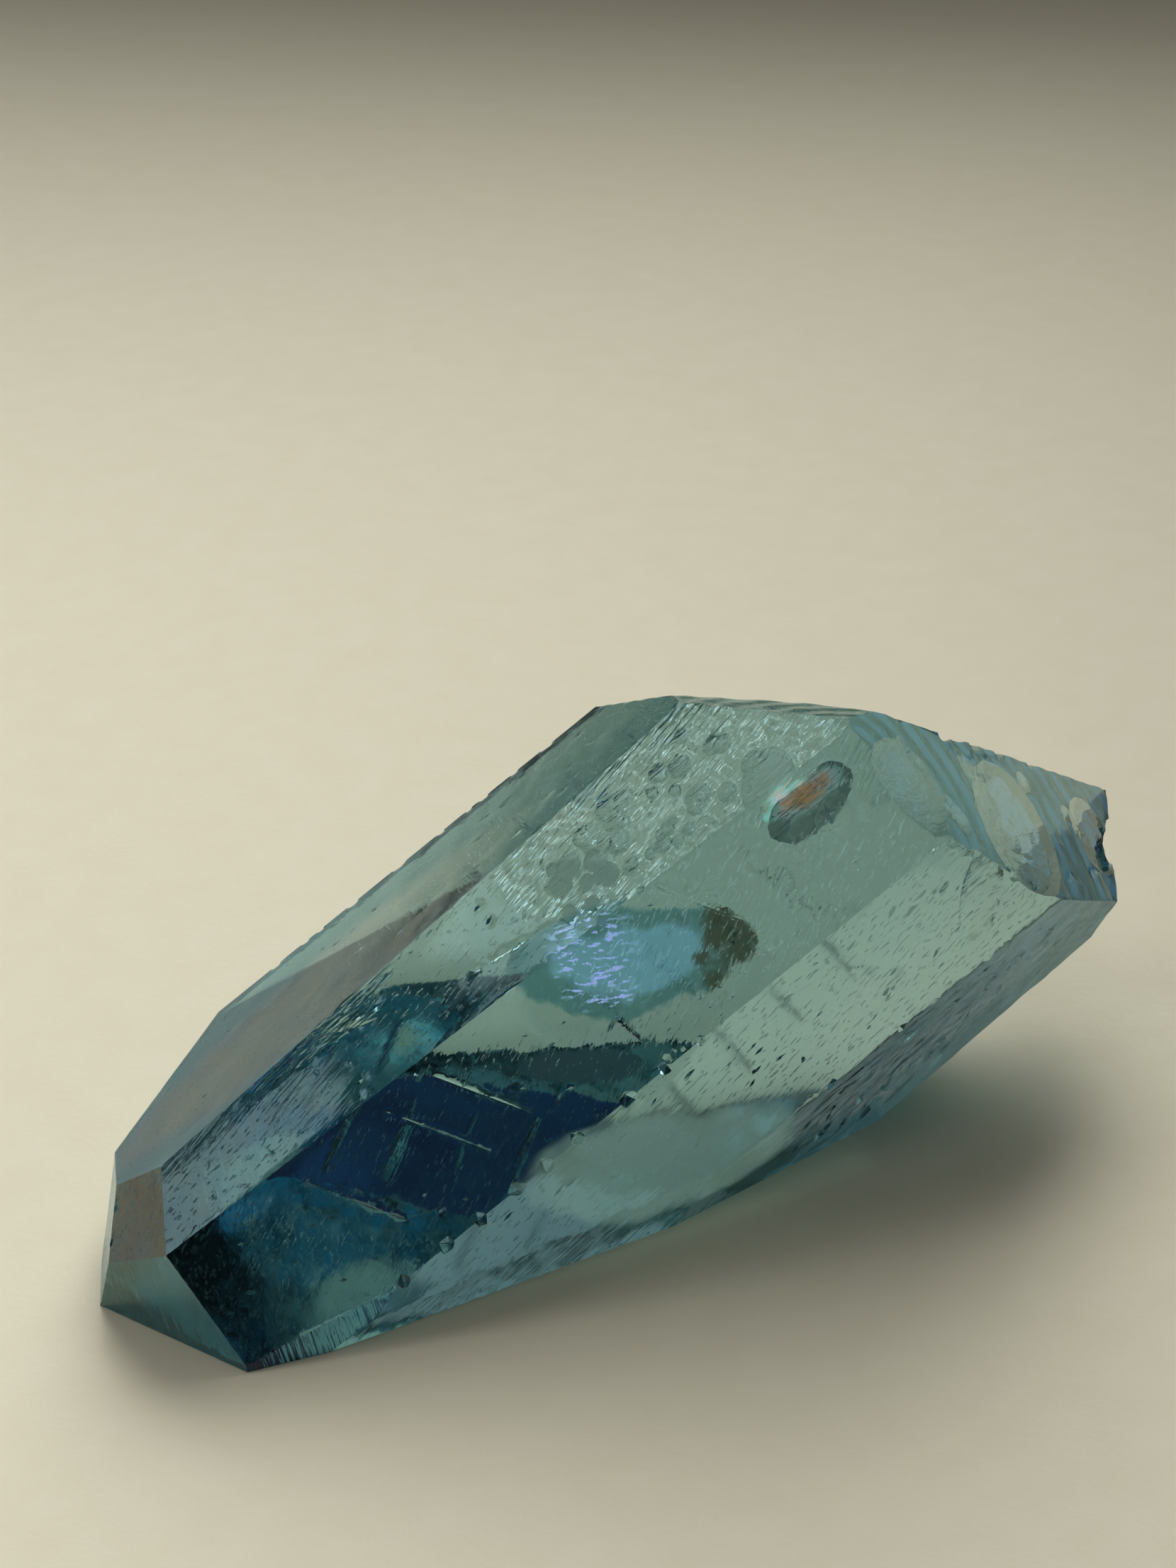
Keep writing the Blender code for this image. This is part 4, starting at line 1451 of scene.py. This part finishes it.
# The window, the side lamp and the ceiling light the floor, and the window throws
# the shadow forwards. The foot glow is the teal light that the crystal gathers and
# throws beside its foot. The rest light the crystal alone: cards that its faces
# mirror or that show through it, and two small bright lamps for its sparkle.
LAMPS = (
    SoftLamp("window_lamp", 109.7, 48.3, (290.0, 290.0), 1.50, distance_mm=281.0,
             spread_deg=71.0, aim_mm=(-110.0, -187.0, 0.0), in_crystal=False, on_floor=True),
    SoftLamp("side_lamp", 172.0, 42.0, (130.0, 130.0), 2.2, distance_mm=290.0, on_floor=True),
    SoftLamp("ceiling_lamp", 90.0, 89.9, (500.0, 500.0), 0.42, distance_mm=500.0,
             in_crystal=False, on_floor=True),
    SoftLamp("foot_glow", -74.6, 14.1, (26.0, 0.8), 0.12, "#c4f0e2", distance_mm=4.94,
             spread_deg=40.0, aim_mm=(-0.35, -2.1, 0.0), in_crystal=False, on_floor=True),
    SoftLamp("mirror_card", 149.0, 72.5, (58.0, 58.0), 0.8),
    SoftLamp("spark_lamp", 138.0, 60.0, (56.0, 56.0), 5.5),
    SoftLamp("tip_card", 180.0, 62.5, (76.0, 76.0), 1.1),
    SoftLamp("front_card", -20.0, 40.0, (120.0, 90.0), 0.7, "#ffe8d0"),
    SoftLamp("wall_card", 94.0, 30.0, (110.0, 110.0), 0.34, "#f4fbff"),
    SoftLamp("low_wall_card", 112.0, 15.0, (200.0, 90.0), 0.24),
    SoftLamp("blue_card", 64.0, 48.0, (200.0, 170.0), 0.045, "#3f86ff"),
    SoftLamp("roof_card", -132.0, 55.0, (260.0, 260.0), 0.25),
    SoftLamp("glint_lamp", -48.0, 70.0, (44.0, 44.0), 5.0),
    SoftLamp("facet_card", 158.0, 7.0, (90.0, 84.0), 0.8, "#ffc295"),
    SoftLamp("break_card", 39.0, 16.0, (130.0, 130.0), 0.50, "#86d2ff"),
    SoftLamp("right_card", -10.0, 22.0, (190.0, 190.0), 0.42, "#62bedc"),
)


@dataclass
class Studio:
    """The plain pale floor, the soft lamps and the camera."""

    view_turn_deg: float = -34.0
    view_middle_mm: tuple = (-5.13, -7.26)
    camera_mm: tuple = (-77.63, -113.18, 87.25)
    camera_pitch_deg: float = 62.4
    lens_mm: float = 85.0
    sensor_mm: float = 36.0
    clip_mm: tuple = (5.0, 10000.0)
    floor_size_mm: float = 1600.0
    air_gap_mm: float = 0.02
    room_colour: str = "#fff7ea"
    room_strength: float = 0.013
    floor_finish: PaperFloor = PaperFloor()

    def seen(self, right_mm: float, away_mm: float, up_mm: float) -> Vector:
        """Find a point by its place as the camera sees it.

        Args:
            right_mm: How far to the right of the crystal.
            away_mm: How far behind it.
            up_mm: How far above the floor.

        Returns:
            The point, in metres in the row frame.
        """
        turn = Matrix.Rotation(math.radians(self.view_turn_deg), 3, "Z")
        place = turn @ Vector((right_mm, away_mm, up_mm))
        return (place + Vector((*self.view_middle_mm, 0.0))) * MM

    def floor(self) -> bpy.types.Object:
        """Build the floor sheet, a thin layer of air under the crystal.

        Returns:
            The floor.
        """
        half = 0.5 * self.floor_size_mm * MM
        drop = -self.air_gap_mm * MM
        rim = ((-half, -half), (half, -half), (half, half), (-half, half))
        mesh = bpy.data.meshes.new("studio_floor")
        mesh.from_pydata([(x, y, drop) for x, y in rim], [], [(0, 1, 2, 3)])
        mesh.materials.append(self.floor_finish.material())
        floor = link_mesh("studio_floor", mesh)
        return floor

    def hang(self, lamp: SoftLamp) -> bpy.types.Object:
        """Hang one lamp round the crystal.

        Args:
            lamp: Which lamp, and where.

        Returns:
            The lamp object.
        """
        light = bpy.data.lights.new(lamp.name, "AREA")
        light.shape = "RECTANGLE"
        light.size = lamp.size_mm[0] * MM
        light.size_y = lamp.size_mm[1] * MM
        light.energy = lamp.radiance * math.pi * light.size * light.size_y
        light.color = linear(lamp.colour)[:3]
        light.spread = math.radians(lamp.spread_deg)
        hung = bpy.data.objects.new(lamp.name, light)
        hung.location = self.seen(*lamp.place_mm())
        aim = self.seen(*lamp.aim_mm)
        hung.rotation_euler = (aim - hung.location).to_track_quat("-Z", "Y").to_euler()
        hung.visible_camera = False
        hung.visible_glossy = lamp.in_crystal
        hung.visible_transmission = lamp.in_crystal
        hung.visible_diffuse = lamp.on_floor
        bpy.context.scene.collection.objects.link(hung)
        return hung

    def room(self) -> bpy.types.World:
        """Leave the room round the floor dim.

        Returns:
            The world.
        """
        world = bpy.data.worlds.new("dim_room")
        world.use_nodes = True
        background = world.node_tree.nodes["Background"]
        background.inputs["Color"].default_value = linear(self.room_colour)
        background.inputs["Strength"].default_value = self.room_strength
        bpy.context.scene.world = world
        return world

    def camera(self) -> bpy.types.Object:
        """Set up the camera.

        Returns:
            The camera.
        """
        data = bpy.data.cameras.new("close_camera")
        data.lens = self.lens_mm
        data.sensor_width = self.sensor_mm
        data.clip_start, data.clip_end = (clip * MM for clip in self.clip_mm)
        camera = bpy.data.objects.new("close_camera", data)
        camera.location = Vector(self.camera_mm) * MM
        camera.rotation_euler = (
            math.radians(self.camera_pitch_deg), 0.0, math.radians(self.view_turn_deg))
        bpy.context.scene.collection.objects.link(camera)
        bpy.context.scene.camera = camera
        return camera

    def build(self) -> None:
        """Build the floor, the lamps, the room and the camera."""
        self.floor()
        for lamp in LAMPS:
            self.hang(lamp)
        self.room()
        self.camera()
        bpy.context.scene.view_settings.view_transform = "Standard"


def main() -> None:
    """Build the crystal and its studio."""
    logging.basicConfig(level=logging.INFO, format="%(name)s: %(message)s")
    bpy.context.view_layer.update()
    crystal = Crystal().build(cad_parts[NODE])
    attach(crystal, BODY)
    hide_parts(NODE)
    LOG.info("%s: %d faces", crystal.name, len(crystal.data.polygons))
    for veil in VEILS:
        piece = veil.build()
        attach(piece, BODY)
        LOG.info("%s: %d faces", piece.name, len(piece.data.polygons))
    Studio().build()
    LOG.info("studio is set up")


if __name__ == "__main__":
    main()
